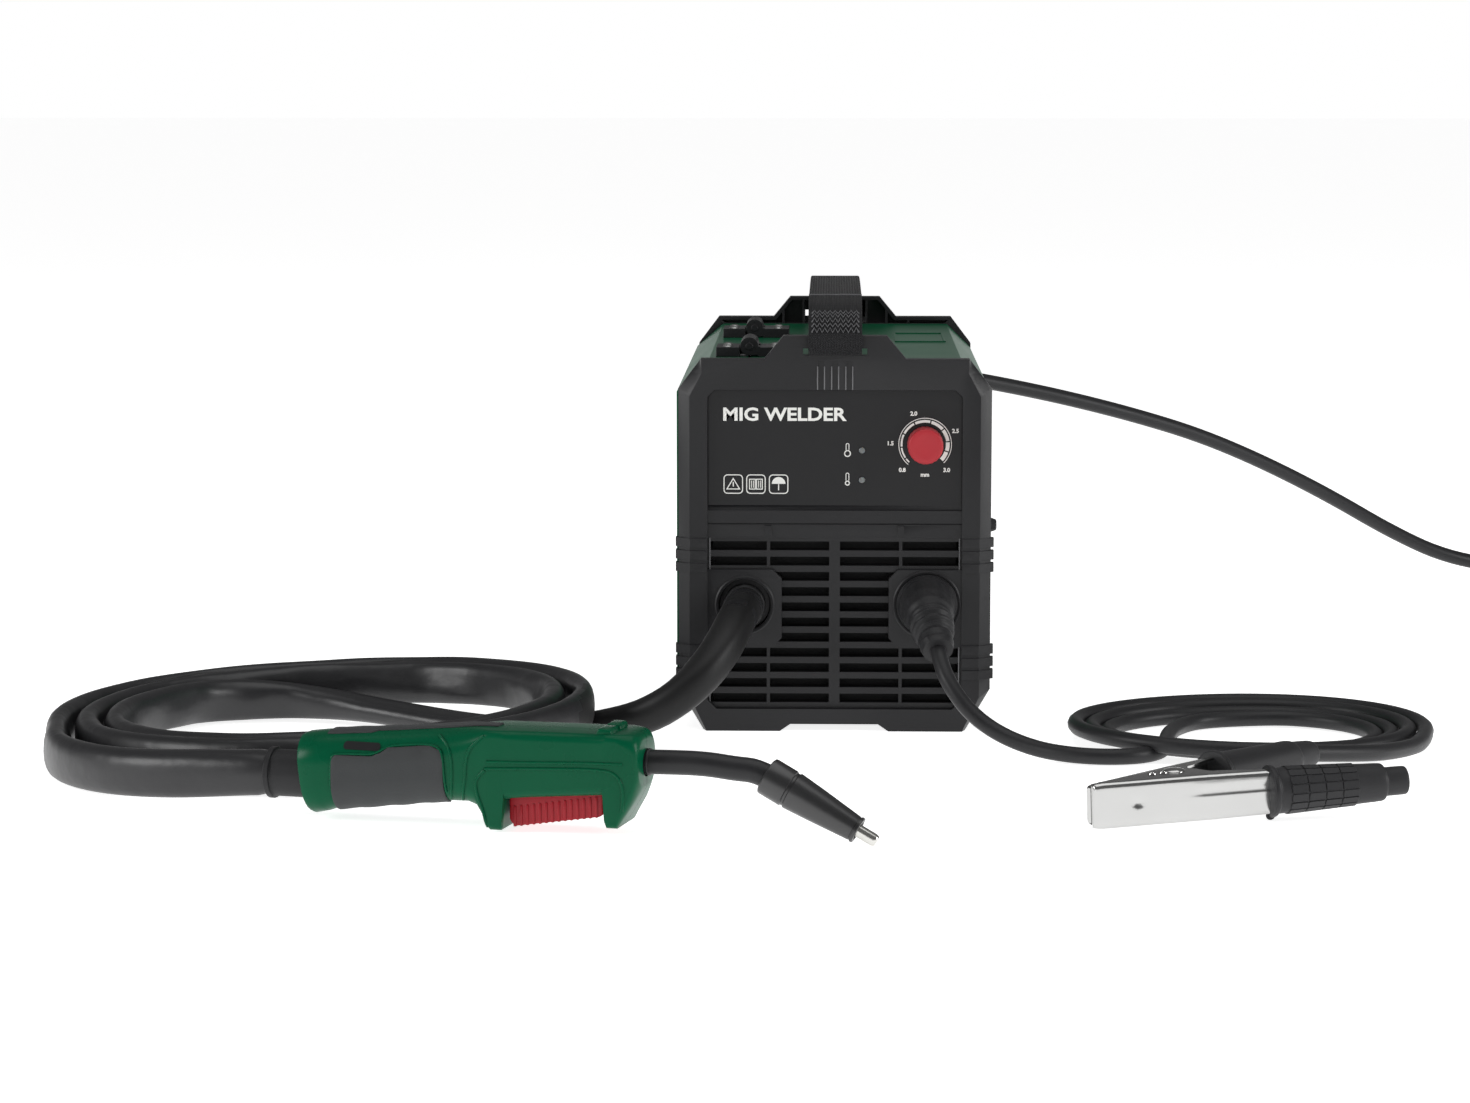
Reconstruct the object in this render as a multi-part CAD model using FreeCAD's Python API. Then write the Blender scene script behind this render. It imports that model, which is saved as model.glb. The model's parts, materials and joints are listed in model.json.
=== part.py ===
"""Small flux-core MIG welding machine with its torch, earth clamp and cables.

Millimetres. X points right, Y to the rear and Z up; the control panel looks towards -Y.
The origin is on the floor under the middle of the housing.
"""
import FreeCAD, Part
import math
import os

os.makedirs("parts", exist_ok=True)
V = FreeCAD.Vector
Z_UP = V(0, 0, 1)

# ---- Housing ----
HALF_W = 87.0
HALF_L = 180.0
SHOULDER_Z = 208.4
SHOULDER_X = 74.3
CHAMFER_Z = 191.6
HUMP_Z = 221.2
HUMP_TOP_X = 28.6
HUMP_FOOT_X = 39.2
CORNER_Z = 23.4
FOOT_OUT_X = 73.3
FOOT_IN_X = 30.3
ARCH_X = 24.5
ARCH_Z = 4.0
PANEL_T = 11.0
WALL = 3.5
BEVEL = 6.3
RECESS_X = 70.7
RECESS_D = 3.5
RECESS_TOP = 191.3
RECESS_BOTTOM = 12.5
COVER_T = 1.6
ROOF_Z = 204.0
ROOF_X = 72.0
COVER_X = 86.4
DOOR_X = 88.2
COVER_CHAMFER_Z = 190.0
COVER_BOTTOM = 24.0
COVER_END_Y = HALF_L - PANEL_T - 0.3

# ---- Front panel details ----
SLOT_COUNT = 11
SLOT_PITCH = 8.57
SLOT_H = 5.0
SLOT_TOP = 106.5
SPINE_W = 6.0
RIB_X = 36.8
LABEL_BOTTOM = 126.8
LABEL_T = 0.6
KNOB = (50.0, 161.0)
LED_X = 15.0
LED_Z = (141.1, 157.6)
TORCH_EXIT = (-50.0, 71.0)
SOCKET = (51.5, 71.5)
BOSS_Z = (47.5, 90.9)
STRAP_SLOT_Z = (210.4, 214.4)
STRAP_W = 30.0
STRAP_T = 2.4

# ---- Door hinge and latch ----
HINGE_X = -49.0
HINGE_Z = 210.0
HINGE_Y = (-93.0, 57.0)
KNUCKLE_R = 5.2
LEAF_L = 30.0
PIN_R = 2.0
RUN = 0.05
LATCH = (0.0, 42.0)

# ---- Wire feed ----
WIRE_X = -51.0
WIRE_Z = 70.0
WIRE_R = 0.45
SPOOL_Y = 45.0
SPOOL_Z = 118.0
SPOOL_R = 50.0
ROLL_Y = -100.0
ROLL_R = 15.4
ARM_PIVOT = (-128.0, 92.0)
PARTITION_X = -25.0

# ---- Cooling ----
FAN = (30.0, 75.0)
FAN_SIZE = 80.0

# ---- Cords ----
HOSE_R = 10.5
EARTH_R = 4.5
MAINS_R = 5.0
FLOOR_GAP = 0.3

# ---- Torch and clamp frames: place on the floor, heading ----
TORCH_AT = V(-252.0, -432.0, 0)
TORCH_YAW = -14.0
CLAMP_AT = V(168.0, -431.0, 13.5)
CLAMP_YAW = 14.0
CLAMP_PITCH = -2.2
CLAMP_SPREAD = 30.0


# ---- Shape helpers ----
def save(name, shape):
    shape.exportStep("parts/" + name + ".step")


def box(x, y, z):
    """Box from three (low, high) pairs."""
    return Part.makeBox(x[1] - x[0], y[1] - y[0], z[1] - z[0], V(x[0], y[0], z[0]))


def rod(radius, start, end):
    """Round bar between two points."""
    start = V(*start)
    along = V(*end) - start
    return Part.makeCylinder(radius, along.Length, start, along)


def cone(r0, r1, start, end):
    start = V(*start)
    along = V(*end) - start
    return Part.makeCone(r0, r1, along.Length, start, along)


def outline_wire(points, y):
    """Closed wire through X, Z points at one Y."""
    corners = [V(x, y, z) for x, z in points]
    return Part.makePolygon(corners + corners[:1])


def prism_y(points, y0, y1):
    """X, Z outline pushed along Y."""
    return Part.Face(outline_wire(points, y0)).extrude(V(0, y1 - y0, 0))


def prism_z(points, z0, z1):
    """X, Y outline pushed along Z."""
    corners = [V(x, y, z0) for x, y in points]
    return Part.Face(Part.makePolygon(corners + corners[:1])).extrude(V(0, 0, z1 - z0))


def loft_y(points0, y0, points1, y1):
    """Solid between two X, Z outlines with the same number of corners."""
    return Part.makeLoft([outline_wire(points0, y0), outline_wire(points1, y1)], True, True)


def mirrored(half):
    """Whole outline from the right half, listed from the bottom up."""
    return half + [(-x, z) for x, z in reversed(half)]


def ribbon(points, thickness):
    """Closed outline of a bent strip: its middle line, half the thickness to each side."""
    sides = ([], [])
    for i, (a, b) in enumerate(points):
        before = points[max(i - 1, 0)]
        after = points[min(i + 1, len(points) - 1)]
        tangents = []
        for p, q in ((before, (a, b)), ((a, b), after)):
            length = math.hypot(q[0] - p[0], q[1] - p[1])
            if length > 0:
                tangents.append(((q[0] - p[0]) / length, (q[1] - p[1]) / length))
        tx = sum(t[0] for t in tangents)
        ty = sum(t[1] for t in tangents)
        size = math.hypot(tx, ty)
        tx, ty = tx / size, ty / size
        reach = thickness / 2 / (tx * tangents[0][0] + ty * tangents[0][1])
        sides[0].append((a - ty * reach, b + tx * reach))
        sides[1].append((a + ty * reach, b - tx * reach))
    return sides[0] + sides[1][::-1]


def rounded_path(points):
    """Straight runs joined by tangent arcs, and the smallest arc radius."""
    points = [V(*p) for p in points]
    edges = []
    radii = []
    here = points[0]
    for before, corner, after in zip(points, points[1:], points[2:]):
        back = before - corner
        ahead = after - corner
        half_turn = (math.pi - back.getAngle(ahead)) / 2
        trim = 0.45 * min(back.Length, ahead.Length)
        radii.append(trim / math.tan(half_turn))
        start = corner + back.normalize() * trim
        end = corner + ahead.normalize() * trim
        to_middle = (start + end) * 0.5 - corner
        rise = radii[-1] / math.cos(half_turn) - radii[-1]
        middle = corner + to_middle.normalize() * rise
        edges.append(Part.LineSegment(here, start).toShape())
        edges.append(Part.Arc(start, middle, end).toShape())
        here = end
    edges.append(Part.LineSegment(here, points[-1]).toShape())
    return Part.Wire(edges), radii


def tube(name, points, radius):
    """Cord along a route; prints its length, arc radii and volume ratio."""
    path, radii = rounded_path(points)
    start = V(*points[0])
    ring = Part.Wire(Part.makeCircle(radius, start, V(*points[1]) - start))
    solid = path.makePipeShell([ring], True, False, 2)
    ratio = solid.Volume / (math.pi * radius ** 2 * path.Length)
    print(f"{name}: length {path.Length:.0f}, volume ratio {ratio:.3f}, radii",
          [round(r) for r in radii])
    return solid


def ellipse_disc(centre, rx, ry, height):
    """Upright elliptic cylinder."""
    centre = V(*centre)
    if rx >= ry:
        curve = Part.Ellipse(centre + V(rx, 0, 0), centre + V(0, ry, 0), centre)
    else:
        curve = Part.Ellipse(centre + V(0, ry, 0), centre + V(-rx, 0, 0), centre)
    return Part.Face(Part.Wire(curve.toShape())).extrude(V(0, 0, height))


def oval_ring(centre, outer, inner, height):
    """Outer shape of a coil lying flat."""
    return ellipse_disc(centre, *outer, height).cut(ellipse_disc(centre, *inner, height))


def joined(shapes):
    whole = shapes[0]
    for shape in shapes[1:]:
        whole = whole.fuse(shape)
    return whole.removeSplitter()


def apart(shapes):
    """Several separate solids kept in one node."""
    return Part.makeCompound(shapes)


def moved(shape, placement):
    copy = shape.copy()
    copy.Placement = placement.multiply(copy.Placement)
    return copy


# ---- Housing panels ----
PANEL_HALF = [(ARCH_X, ARCH_Z), (FOOT_IN_X, 0), (FOOT_OUT_X, 0), (HALF_W, CORNER_Z),
              (HALF_W, CHAMFER_Z), (80.6, 200.1), (SHOULDER_X, SHOULDER_Z),
              (HUMP_FOOT_X, SHOULDER_Z), (HUMP_TOP_X, HUMP_Z)]
NOSE_HALF = [(ARCH_X, ARCH_Z), (FOOT_IN_X, 0), (FOOT_OUT_X - 2, 0), (HALF_W - BEVEL, CORNER_Z - 4),
             (HALF_W - BEVEL, CHAMFER_Z - 4), (73.8, 200.7), (SHOULDER_X, SHOULDER_Z),
             (HUMP_FOOT_X, SHOULDER_Z), (HUMP_TOP_X, HUMP_Z)]
FRONT_Y = -HALF_L
RECESS_Y = FRONT_Y + RECESS_D
PANEL_BACK_Y = FRONT_Y + PANEL_T
BEVEL_BACK_Y = FRONT_Y + 6.0


def bumper_ribs(low, side):
    """Three stacked ribs that wrap round one front corner."""
    ribs = []
    for step in range(3):
        z = low + step * 7.0
        corner = [(side * 71, FRONT_Y - 0.8), (side * 80.4, FRONT_Y - 0.8),
                  (side * 88.6, BEVEL_BACK_Y - 0.6), (side * 88.6, PANEL_BACK_Y),
                  (side * 71, PANEL_BACK_Y)]
        ribs.append(prism_z(corner, z, z + 5.0))
    return ribs


def recess_half(depth_x):
    return [(depth_x - 5, RECESS_BOTTOM), (depth_x, RECESS_BOTTOM + 5),
            (depth_x, RECESS_TOP - 4), (depth_x - 4, RECESS_TOP)]


def boss(x0, x1, low, high, chamfer, inner_side):
    """Raised plate round an outlet; its inner corners are cut off."""
    if inner_side > 0:
        points = [(x0, low), (x1 - chamfer, low), (x1, low + chamfer),
                  (x1, high - chamfer), (x1 - chamfer, high), (x0, high)]
    else:
        points = [(x1, low), (x1, high), (x0 + chamfer, high), (x0, high - chamfer),
                  (x0, low + chamfer), (x0 + chamfer, low)]
    return prism_y(points, FRONT_Y + 1.0, RECESS_Y + WALL)


def front_panel():
    nose = loft_y(mirrored(NOSE_HALF), FRONT_Y, mirrored(PANEL_HALF), BEVEL_BACK_Y)
    shell = nose.fuse(prism_y(mirrored(PANEL_HALF), BEVEL_BACK_Y, PANEL_BACK_Y))
    shell = shell.cut(prism_y(mirrored(recess_half(RECESS_X)), FRONT_Y - 1, RECESS_Y))
    back = mirrored([(79, 14), (83, 26), (83, 188), (72, 203)])
    shell = shell.cut(prism_y(back, RECESS_Y + WALL, PANEL_BACK_Y + 1))
    slots = []
    for row in range(SLOT_COUNT):
        top = SLOT_TOP - row * SLOT_PITCH
        for x in ((-RECESS_X + 0.6, -SPINE_W / 2), (SPINE_W / 2, RECESS_X - 0.6)):
            slots.append(box(x, (RECESS_Y - 1, RECESS_Y + WALL + 1), (top - SLOT_H, top)))
    shell = shell.cut(slots)
    low = SLOT_TOP - (SLOT_COUNT - 1) * SLOT_PITCH - SLOT_H
    extras = [box((side * RIB_X - 0.9, side * RIB_X + 0.9), (RECESS_Y, RECESS_Y + WALL),
                  (low - 1, SLOT_TOP + 1)) for side in (-1, 1)]
    extras.append(boss(-RECESS_X, -29.4, *BOSS_Z, 5.0, 1))
    extras.append(boss(30.2, RECESS_X, *BOSS_Z, 5.0, -1))
    extras.append(box((-RECESS_X, RECESS_X), (FRONT_Y + 1.5, RECESS_Y), (117.0, 124.0)))
    extras.append(box((-RECESS_X, RECESS_X), (FRONT_Y + 2.4, RECESS_Y), (108.6, 116.2)))
    for side in (-1, 1):
        extras.append(box((side * RIB_X - 1.8, side * RIB_X + 1.8), (FRONT_Y + 1.2, RECESS_Y),
                          (110.2, 115.4)))
        extras.extend(bumper_ribs(29.5, side))
        extras.extend(bumper_ribs(89.5, side))
    shell = joined([shell] + extras)
    holes = [rod(14.5, (TORCH_EXIT[0], FRONT_Y - 1, TORCH_EXIT[1]),
                 (TORCH_EXIT[0], PANEL_BACK_Y + 1, TORCH_EXIT[1])),
             rod(14.2, (SOCKET[0], FRONT_Y - 1, SOCKET[1]), (SOCKET[0], PANEL_BACK_Y, SOCKET[1])),
             rod(3.6, (KNOB[0], FRONT_Y - 1, KNOB[1]), (KNOB[0], PANEL_BACK_Y, KNOB[1])),
             box((-17.8, 17.8), (FRONT_Y - 1, PANEL_BACK_Y + 1), STRAP_SLOT_Z)]
    for z in LED_Z:
        holes.append(rod(1.8, (LED_X, FRONT_Y - 1, z), (LED_X, PANEL_BACK_Y, z)))
    for column in (-1, 0, 1):
        x = column * 7.8
        holes.append(box((x - 1.5, x + 1.5), (FRONT_Y - 1, FRONT_Y + 0.8), (RECESS_TOP - 1, 207.5)))
    return shell.cut(holes)


def rear_panel():
    y0 = HALF_L - PANEL_T
    shell = prism_y(mirrored(PANEL_HALF), y0, HALF_L)
    inside = mirrored([(70, 8), (83, 26), (83, 188), (72, 203)])
    shell = shell.cut(prism_y(inside, y0 - 1, HALF_L - WALL))
    top = mirrored([(70, ROOF_Z + 0.4), (72.5, 206.2), (37.8, 206.2), (27.6, 219.0)])
    shell = shell.cut(prism_y(top, y0 - 1, HALF_L - WALL))
    ribs = [box((side * x - 0.6, side * x + 0.6), (y0, HALF_L - WALL), (ROOF_Z - 1, z))
            for side in (-1, 1) for x, z in ((20, 219), (33, 214), (47, 207))]
    shell = joined([shell] + ribs)
    slots = [box((-19, 19), (y0 - 1, HALF_L + 1), (208.4, 212.4)),
             box((-1, 31), (HALF_L - WALL - 1, HALF_L + 1), (154, 176)),
             rod(8.2, (58, HALF_L - WALL - 1, 168), (58, HALF_L + 1, 168))]
    for row in range(9):
        z = FAN[1] - 34 + row * 8.0
        slots.append(box((FAN[0] - 34, FAN[0] + 34), (HALF_L - WALL - 1, HALF_L + 1), (z, z + 4)))
    for row in range(5):
        z = 60 + row * 10.0
        slots.append(box((-74, -34), (HALF_L - WALL - 1, HALF_L + 1), (z, z + 4)))
    return shell.cut(slots)


def base_tray():
    path = [(-83.2, 23.4), (-82.6, 18.2), (-71.5, 5.6), (71.5, 5.6), (82.6, 18.2), (83.2, 23.4)]
    tray = prism_y(ribbon(path, 1.4), -COVER_END_Y, COVER_END_Y)
    pan = box((-62, 62), (-140, 140), (0, 6.3)).cut(box((-60.6, 60.6), (-138.6, 138.6), (1.4, 7)))
    tray = tray.cut(box((-60.6, 60.6), (-138.6, 138.6), (1.4, 7)))
    return joined([tray, pan])


def cover_outline(side, roof_from, out):
    t = COVER_T / 2
    path = [(side * roof_from, ROOF_Z - t), (side * (ROOF_X - t), ROOF_Z - t),
            (side * (out - t), COVER_CHAMFER_Z - t), (side * (out - t), COVER_BOTTOM)]
    return ribbon(path, COVER_T)


def right_cover():
    cover = prism_y(cover_outline(1, HINGE_X + 0.4, COVER_X), -COVER_END_Y, COVER_END_Y)
    vents = [box((COVER_X - 3, COVER_X + 1), (20 + i * 9.0, 24 + i * 9.0), (50, 86))
             for i in range(11)]
    return cover.cut(vents)


def spool_door():
    outline = cover_outline(-1, -HINGE_X + 0.4, DOOR_X)
    door = prism_y(outline, -COVER_END_Y + 0.4, COVER_END_Y - 0.4)
    return door.cut(rod(4.05, (-DOOR_X - 1, LATCH[0], LATCH[1]), (-80, LATCH[0], LATCH[1])))


def hinge_parts(y):
    """Fixed leaf with its pin, and the door's leaf, for one hinge centred at y."""
    z0 = ROOF_Z
    z1 = HINGE_Z - 0.5
    half = LEAF_L / 2
    mid = 6.5
    fixed = [box((HINGE_X + KNUCKLE_R + 0.4, -28), (y - half, y + half), (z0, z1))]
    for low, high in ((y - half, y - mid), (y + mid, y + half)):
        knuckle = rod(KNUCKLE_R, (HINGE_X, low, HINGE_Z), (HINGE_X, high, HINGE_Z))
        web = box((HINGE_X, HINGE_X + KNUCKLE_R + 1), (low, high), (z0 + 1, HINGE_Z))
        fixed += [knuckle, web]
    fixed.append(rod(PIN_R, (HINGE_X, y - half - 0.6, HINGE_Z), (HINGE_X, y + half + 0.6, HINGE_Z)))
    leaf = [box((-68, HINGE_X - KNUCKLE_R - 0.4), (y - half, y + half), (z0, z1)),
            rod(KNUCKLE_R, (HINGE_X, y - mid + 0.35, HINGE_Z), (HINGE_X, y + mid - 0.35, HINGE_Z)),
            box((HINGE_X - KNUCKLE_R - 1, HINGE_X), (y - mid + 0.35, y + mid - 0.35),
                (z0 + 1, HINGE_Z))]
    bore = rod(PIN_R + RUN, (HINGE_X, y - mid, HINGE_Z), (HINGE_X, y + mid, HINGE_Z))
    return joined(fixed), joined(leaf).cut(bore)


def door_latch():
    y, z = LATCH
    out = -DOOR_X - 0.3
    knob = rod(9.0, (out, y, z), (out - 2.2, y, z))
    bar = box((out - 6.0, out - 2.0), (y - 8, y + 8), (z - 2, z + 2))
    shaft = rod(4.0, (out, y, z), (-80, y, z))
    tongue = box((-82.1, -79.9), (y - 4, y + 22), (z - 4, z + 4))
    return joined([knob, bar, shaft, tongue])


def cover_screws():
    heads = []
    for y, z in ((-150, 113), (150, 113), (150, 40)):
        heads.append(cone(4.5, 3.0, (COVER_X, y, z), (COVER_X + 4.6, y, z)))
    return apart(heads)


# ---- Control panel ----
def control_label():
    face = mirrored([(RECESS_X - 0.4, LABEL_BOTTOM), (RECESS_X - 0.4, RECESS_TOP - 4.2),
                     (RECESS_X - 4.3, RECESS_TOP - 0.3)])
    plate = prism_y(face, RECESS_Y - LABEL_T, RECESS_Y)
    holes = [rod(3.6, (KNOB[0], FRONT_Y, KNOB[1]), (KNOB[0], RECESS_Y + 1, KNOB[1]))]
    for z in LED_Z:
        holes.append(rod(1.8, (LED_X, FRONT_Y, z), (LED_X, RECESS_Y + 1, z)))
    return plate.cut(holes)


def control_knob():
    x, z = KNOB
    front = RECESS_Y - LABEL_T - 0.4
    skirt = cone(10.2, 9.6, (x, front, z), (x, front - 14.0, z))
    shaft = rod(3.0, (x, front, z), (x, PANEL_BACK_Y + 12, z))
    return joined([skirt, shaft])


def pot_body():
    x, z = KNOB
    back = RECESS_Y + WALL
    body = rod(8.0, (x, back, z), (x, PANEL_BACK_Y + 14, z))
    tag = box((x - 6, x + 6), (PANEL_BACK_Y, PANEL_BACK_Y + 2), (z - 14, z))
    return joined([body, tag]).cut(rod(3.0 + RUN, (x, back - 1, z), (x, PANEL_BACK_Y + 12.4, z)))


def led_lenses():
    return apart([rod(1.7, (LED_X, RECESS_Y - LABEL_T - 0.8, z), (LED_X, RECESS_Y + 6, z))
                  for z in LED_Z])


# ---- Carry strap ----
def carry_strap():
    over = [(-165, 212.4), (-184.6, 212.4), (-185.8, 225), (-178, 234.0), (-125, 239.4),
            (0, 241.2), (125, 239.0), (170, 232.5), (184.4, 222), (184.0, 210.4), (165, 210.4)]
    front_loop = [(-165, 212.4), (-163.5, 224), (-155, 233.6), (-125, 238.4)]
    rear_loop = [(165, 210.4), (163.5, 222), (152, 231.5), (125, 238.0)]
    strips = []
    for path in (over, front_loop, rear_loop):
        corners = [V(-STRAP_W / 2, y, z) for y, z in ribbon(path, STRAP_T)]
        face = Part.Face(Part.makePolygon(corners + corners[:1]))
        strips.append(face.extrude(V(STRAP_W, 0, 0)))
    return joined(strips)


# ---- Outlets on the front and rear ----
HOSE_START_Y = -184.0


def torch_gland():
    x, z = TORCH_EXIT
    ring = rod(14.3, (x, FRONT_Y + 5, z), (x, PANEL_BACK_Y + 5, z))
    neck = rod(11.2, (x, HOSE_START_Y, z), (x, FRONT_Y + 5, z))
    liner = rod(5.0, (x, PANEL_BACK_Y + 5, z), (x, -142, z))
    return joined([ring, neck, liner]).cut(rod(1.2, (x, -170, z), (x, -141, z)))


def ground_socket():
    x, z = SOCKET
    flange = rod(17.0, (x, FRONT_Y - 2, z), (x, FRONT_Y + 1.0, z))
    barrel = rod(14.0, (x, FRONT_Y, z), (x, -156, z))
    return joined([flange, barrel]).cut(rod(8.1, (x, FRONT_Y - 3, z), (x, -162, z)))


PLUG_END = (56.0, -222.0, 55.0)
PLUG_END_AXIS = (2.0, -11.0, -8.5)


def ground_plug():
    """Rubber sleeve that droops from the socket towards the cable."""
    x, z = SOCKET
    stations = ((15.8, (x, FRONT_Y - 2, z), (0, -1, 0)), (15.4, (x, -191, z - 0.6), (0, -1, -0.1)),
                (12.4, (x + 1.4, -207, z - 6.5), (0.1, -1, -0.5)), (9.6, PLUG_END, PLUG_END_AXIS))
    rings = [Part.Wire(Part.makeCircle(r, V(*at), V(*axis))) for r, at, axis in stations]
    sleeve = Part.makeLoft(rings, True, True)
    pin = rod(8.0, (x, FRONT_Y - 3, z), (x, -163, z))
    return joined([sleeve, pin])


def mains_gland():
    body = rod(8.0, (58, HALF_L - 12, 168), (58, HALF_L + 2, 168))
    nut = rod(11.0, (58, HALF_L, 168), (58, HALF_L + 7, 168))
    sleeve = cone(8.5, 6.6, (58, HALF_L + 7, 168), (58, HALF_L + 22, 168))
    return joined([body, nut, sleeve])


SWITCH_AT = (15.0, 165.0)
ROCKER_TILT = 7.0
ROCKER_Y = HALF_L - 3.0
ROCKER_PIN_R = 1.5


def switch_bezel():
    x, z = SWITCH_AT
    body = box((x - 15.5, x + 15.5), (HALF_L - 22, HALF_L), (z - 10.5, z + 10.5))
    flange = box((x - 17.5, x + 17.5), (HALF_L, HALF_L + 2), (z - 12.5, z + 12.5))
    frame = joined([body, flange]).cut(box((x - 12.5, x + 12.5), (HALF_L - 10, HALF_L + 3),
                                           (z - 8.5, z + 8.5)))
    pins = [rod(ROCKER_PIN_R, (x + side * 13, ROCKER_Y, z), (x + side * 9, ROCKER_Y, z))
            for side in (-1, 1)]
    return joined([frame] + pins)


def switch_rocker():
    x, z = SWITCH_AT
    y = ROCKER_Y
    side = [(y - 2.5, z - 3.5), (y + 6.0, z - 7.4), (y + 7.6, z), (y + 6.0, z + 7.4),
            (y - 2.5, z + 3.5)]
    corners = [V(x - 12, a, b) for a, b in side]
    rocker = Part.Face(Part.makePolygon(corners + corners[:1])).extrude(V(24, 0, 0))
    rocker = rocker.cut(rod(ROCKER_PIN_R + RUN, (x - 14, y, z), (x + 14, y, z)))
    rocker.rotate(V(x, y, z), V(1, 0, 0), -ROCKER_TILT)
    return rocker


# ---- Inside: partition, spool and wire feed ----
def partition():
    wall = box((PARTITION_X - 1.5, PARTITION_X), (-166, 165), (6.3, 201.8))
    return wall.cut(rod(9, (PARTITION_X - 3, ROLL_Y, WIRE_Z - 15), (0, ROLL_Y, WIRE_Z - 15)))


def spool_spindle():
    x = PARTITION_X - 1.5
    flange = rod(20, (x, SPOOL_Y, SPOOL_Z), (x - 3, SPOOL_Y, SPOOL_Z))
    return joined([flange, rod(8, (x, SPOOL_Y, SPOOL_Z), (-80, SPOOL_Y, SPOOL_Z))])


def wire_spool():
    y, z = SPOOL_Y, SPOOL_Z
    flanges = [rod(SPOOL_R, (x, y, z), (x - 2.4, y, z)) for x in (-30.2, -73.6)]
    hub = rod(22, (-30.2, y, z), (-76, y, z))
    spool = joined(flanges + [hub])
    lightening = []
    for i in range(6):
        angle = math.radians(60 * i)
        cy = y + 15 * math.cos(angle)
        cz = z + 15 * math.sin(angle)
        lightening.append(rod(4, (-20, cy, cz), (-80, cy, cz)))
    return spool.cut([rod(8 + RUN, (-20, y, z), (-80, y, z))] + lightening)


def wire_winding():
    y, z = SPOOL_Y, SPOOL_Z
    ring = rod(40, (-32.7, y, z), (-73.5, y, z))
    return ring.cut(rod(22, (-20, y, z), (-80, y, z)))


def spool_nut():
    y, z = SPOOL_Y, SPOOL_Z
    nut = rod(13, (-76.5, y, z), (-82.5, y, z))
    return nut.cut(rod(8, (-70, y, z), (-80, y, z)))


def weld_wire():
    start = (WIRE_X, SPOOL_Y, SPOOL_Z - 41.2)
    points = [start, (WIRE_X, -60, WIRE_Z), (WIRE_X, -168, WIRE_Z)]
    return joined([rod(WIRE_R, a, b) for a, b in zip(points, points[1:])])


def feeder_base():
    x = PARTITION_X - 1.5
    plate = box((x - 6, x), (-142, -60), (38, 104))
    guides = [box((WIRE_X - 5, x - 5), (-68, -61), (64, 76)),
              box((WIRE_X - 5, x - 5), (-141, -134), (64, 76))]
    pivot = rod(3, (x - 5, *ARM_PIVOT), (-52, *ARM_PIVOT))
    body = joined([plate] + guides + [pivot])
    axis_z = WIRE_Z - 15
    return body.cut([rod(1.2, (WIRE_X, -50, WIRE_Z), (WIRE_X, -150, WIRE_Z)),
                     rod(4 + RUN, (x - 8, ROLL_Y, axis_z), (x + 2, ROLL_Y, axis_z))])


def feed_motor():
    z = WIRE_Z - 15
    gearbox = rod(24, (PARTITION_X, ROLL_Y, z), (8, ROLL_Y, z))
    motor = rod(18, (8, ROLL_Y, z), (58, ROLL_Y, z))
    return joined([gearbox, motor]).cut(rod(4.6, (-30, ROLL_Y, z), (-12, ROLL_Y, z)))


def drive_roll():
    z = WIRE_Z - 15
    discs = [rod(ROLL_R, (WIRE_X + side * 1, ROLL_Y, z), (WIRE_X + side * 5, ROLL_Y, z))
             for side in (-1, 1)]
    groove = rod(14.3, (WIRE_X - 1, ROLL_Y, z), (WIRE_X + 1, ROLL_Y, z))
    shaft = rod(4, (WIRE_X - 8, ROLL_Y, z), (-14, ROLL_Y, z))
    return joined(discs + [groove, shaft])


ROLLER_Z = WIRE_Z + WIRE_R + 0.35 + 10


def pressure_arm():
    y, z = ARM_PIVOT
    x = (-45.6, -38.6)
    boss_end = rod(6, (x[0], y, z), (x[1], y, z))
    bar = box(x, (y, -72), (z - 4.5, z + 3.5))
    hanger = box(x, (ROLL_Y - 5, ROLL_Y + 5), (ROLLER_Z - 4, z))
    pin = rod(3, (-56, ROLL_Y, ROLLER_Z), (x[0], ROLL_Y, ROLLER_Z))
    stud = rod(2, (-42.1, -77, 80), (-42.1, -77, 118))
    arm = joined([boss_end, bar, hanger, pin, stud])
    return arm.cut(rod(3 + RUN, (-60, y, z), (-30, y, z)))


def pressure_roller():
    ring = rod(10, (-55.4, ROLL_Y, ROLLER_Z), (-46.4, ROLL_Y, ROLLER_Z))
    return ring.cut(rod(3 + RUN, (-60, ROLL_Y, ROLLER_Z), (-40, ROLL_Y, ROLLER_Z)))


def tension_knob():
    base = ARM_PIVOT[1] + 3.9
    knob = cone(6.5, 8.0, (-42.1, -77, base), (-42.1, -77, base + 17))
    return knob.cut(rod(2 + RUN, (-42.1, -77, base - 1), (-42.1, -77, 118.5)))


# ---- Inside: power electronics and cooling ----
def fan_frame():
    x, z = FAN
    half = FAN_SIZE / 2
    frame = box((x - half, x + half), (139, 164), (z - half, z + half))
    frame = frame.cut(rod(38, (x, 138, z), (x, 165, z)))
    struts = [rod(17, (x, 161, z), (x, 164, z)),
              box((x - 39, x + 39), (161, 164), (z - 2, z + 2)),
              box((x - 2, x + 2), (161, 164), (z - 39, z + 39))]
    return joined([frame] + struts).cut(rod(2 + RUN, (x, 150, z), (x, 165, z)))


def fan_rotor():
    x, z = FAN
    hub = rod(16, (x, 142, z), (x, 160, z))
    parts = [hub, rod(2, (x, 159, z), (x, 163.5, z))]
    for i in range(7):
        blade = box((x - 1, x + 1), (143, 159), (z + 14, z + 36.5))
        blade.rotate(V(x, 151, z + 25), V(0, 0, 1), 35)
        blade.rotate(V(x, 151, z), V(0, 1, 0), i * 360 / 7)
        parts.append(blade)
    return joined(parts)


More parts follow.
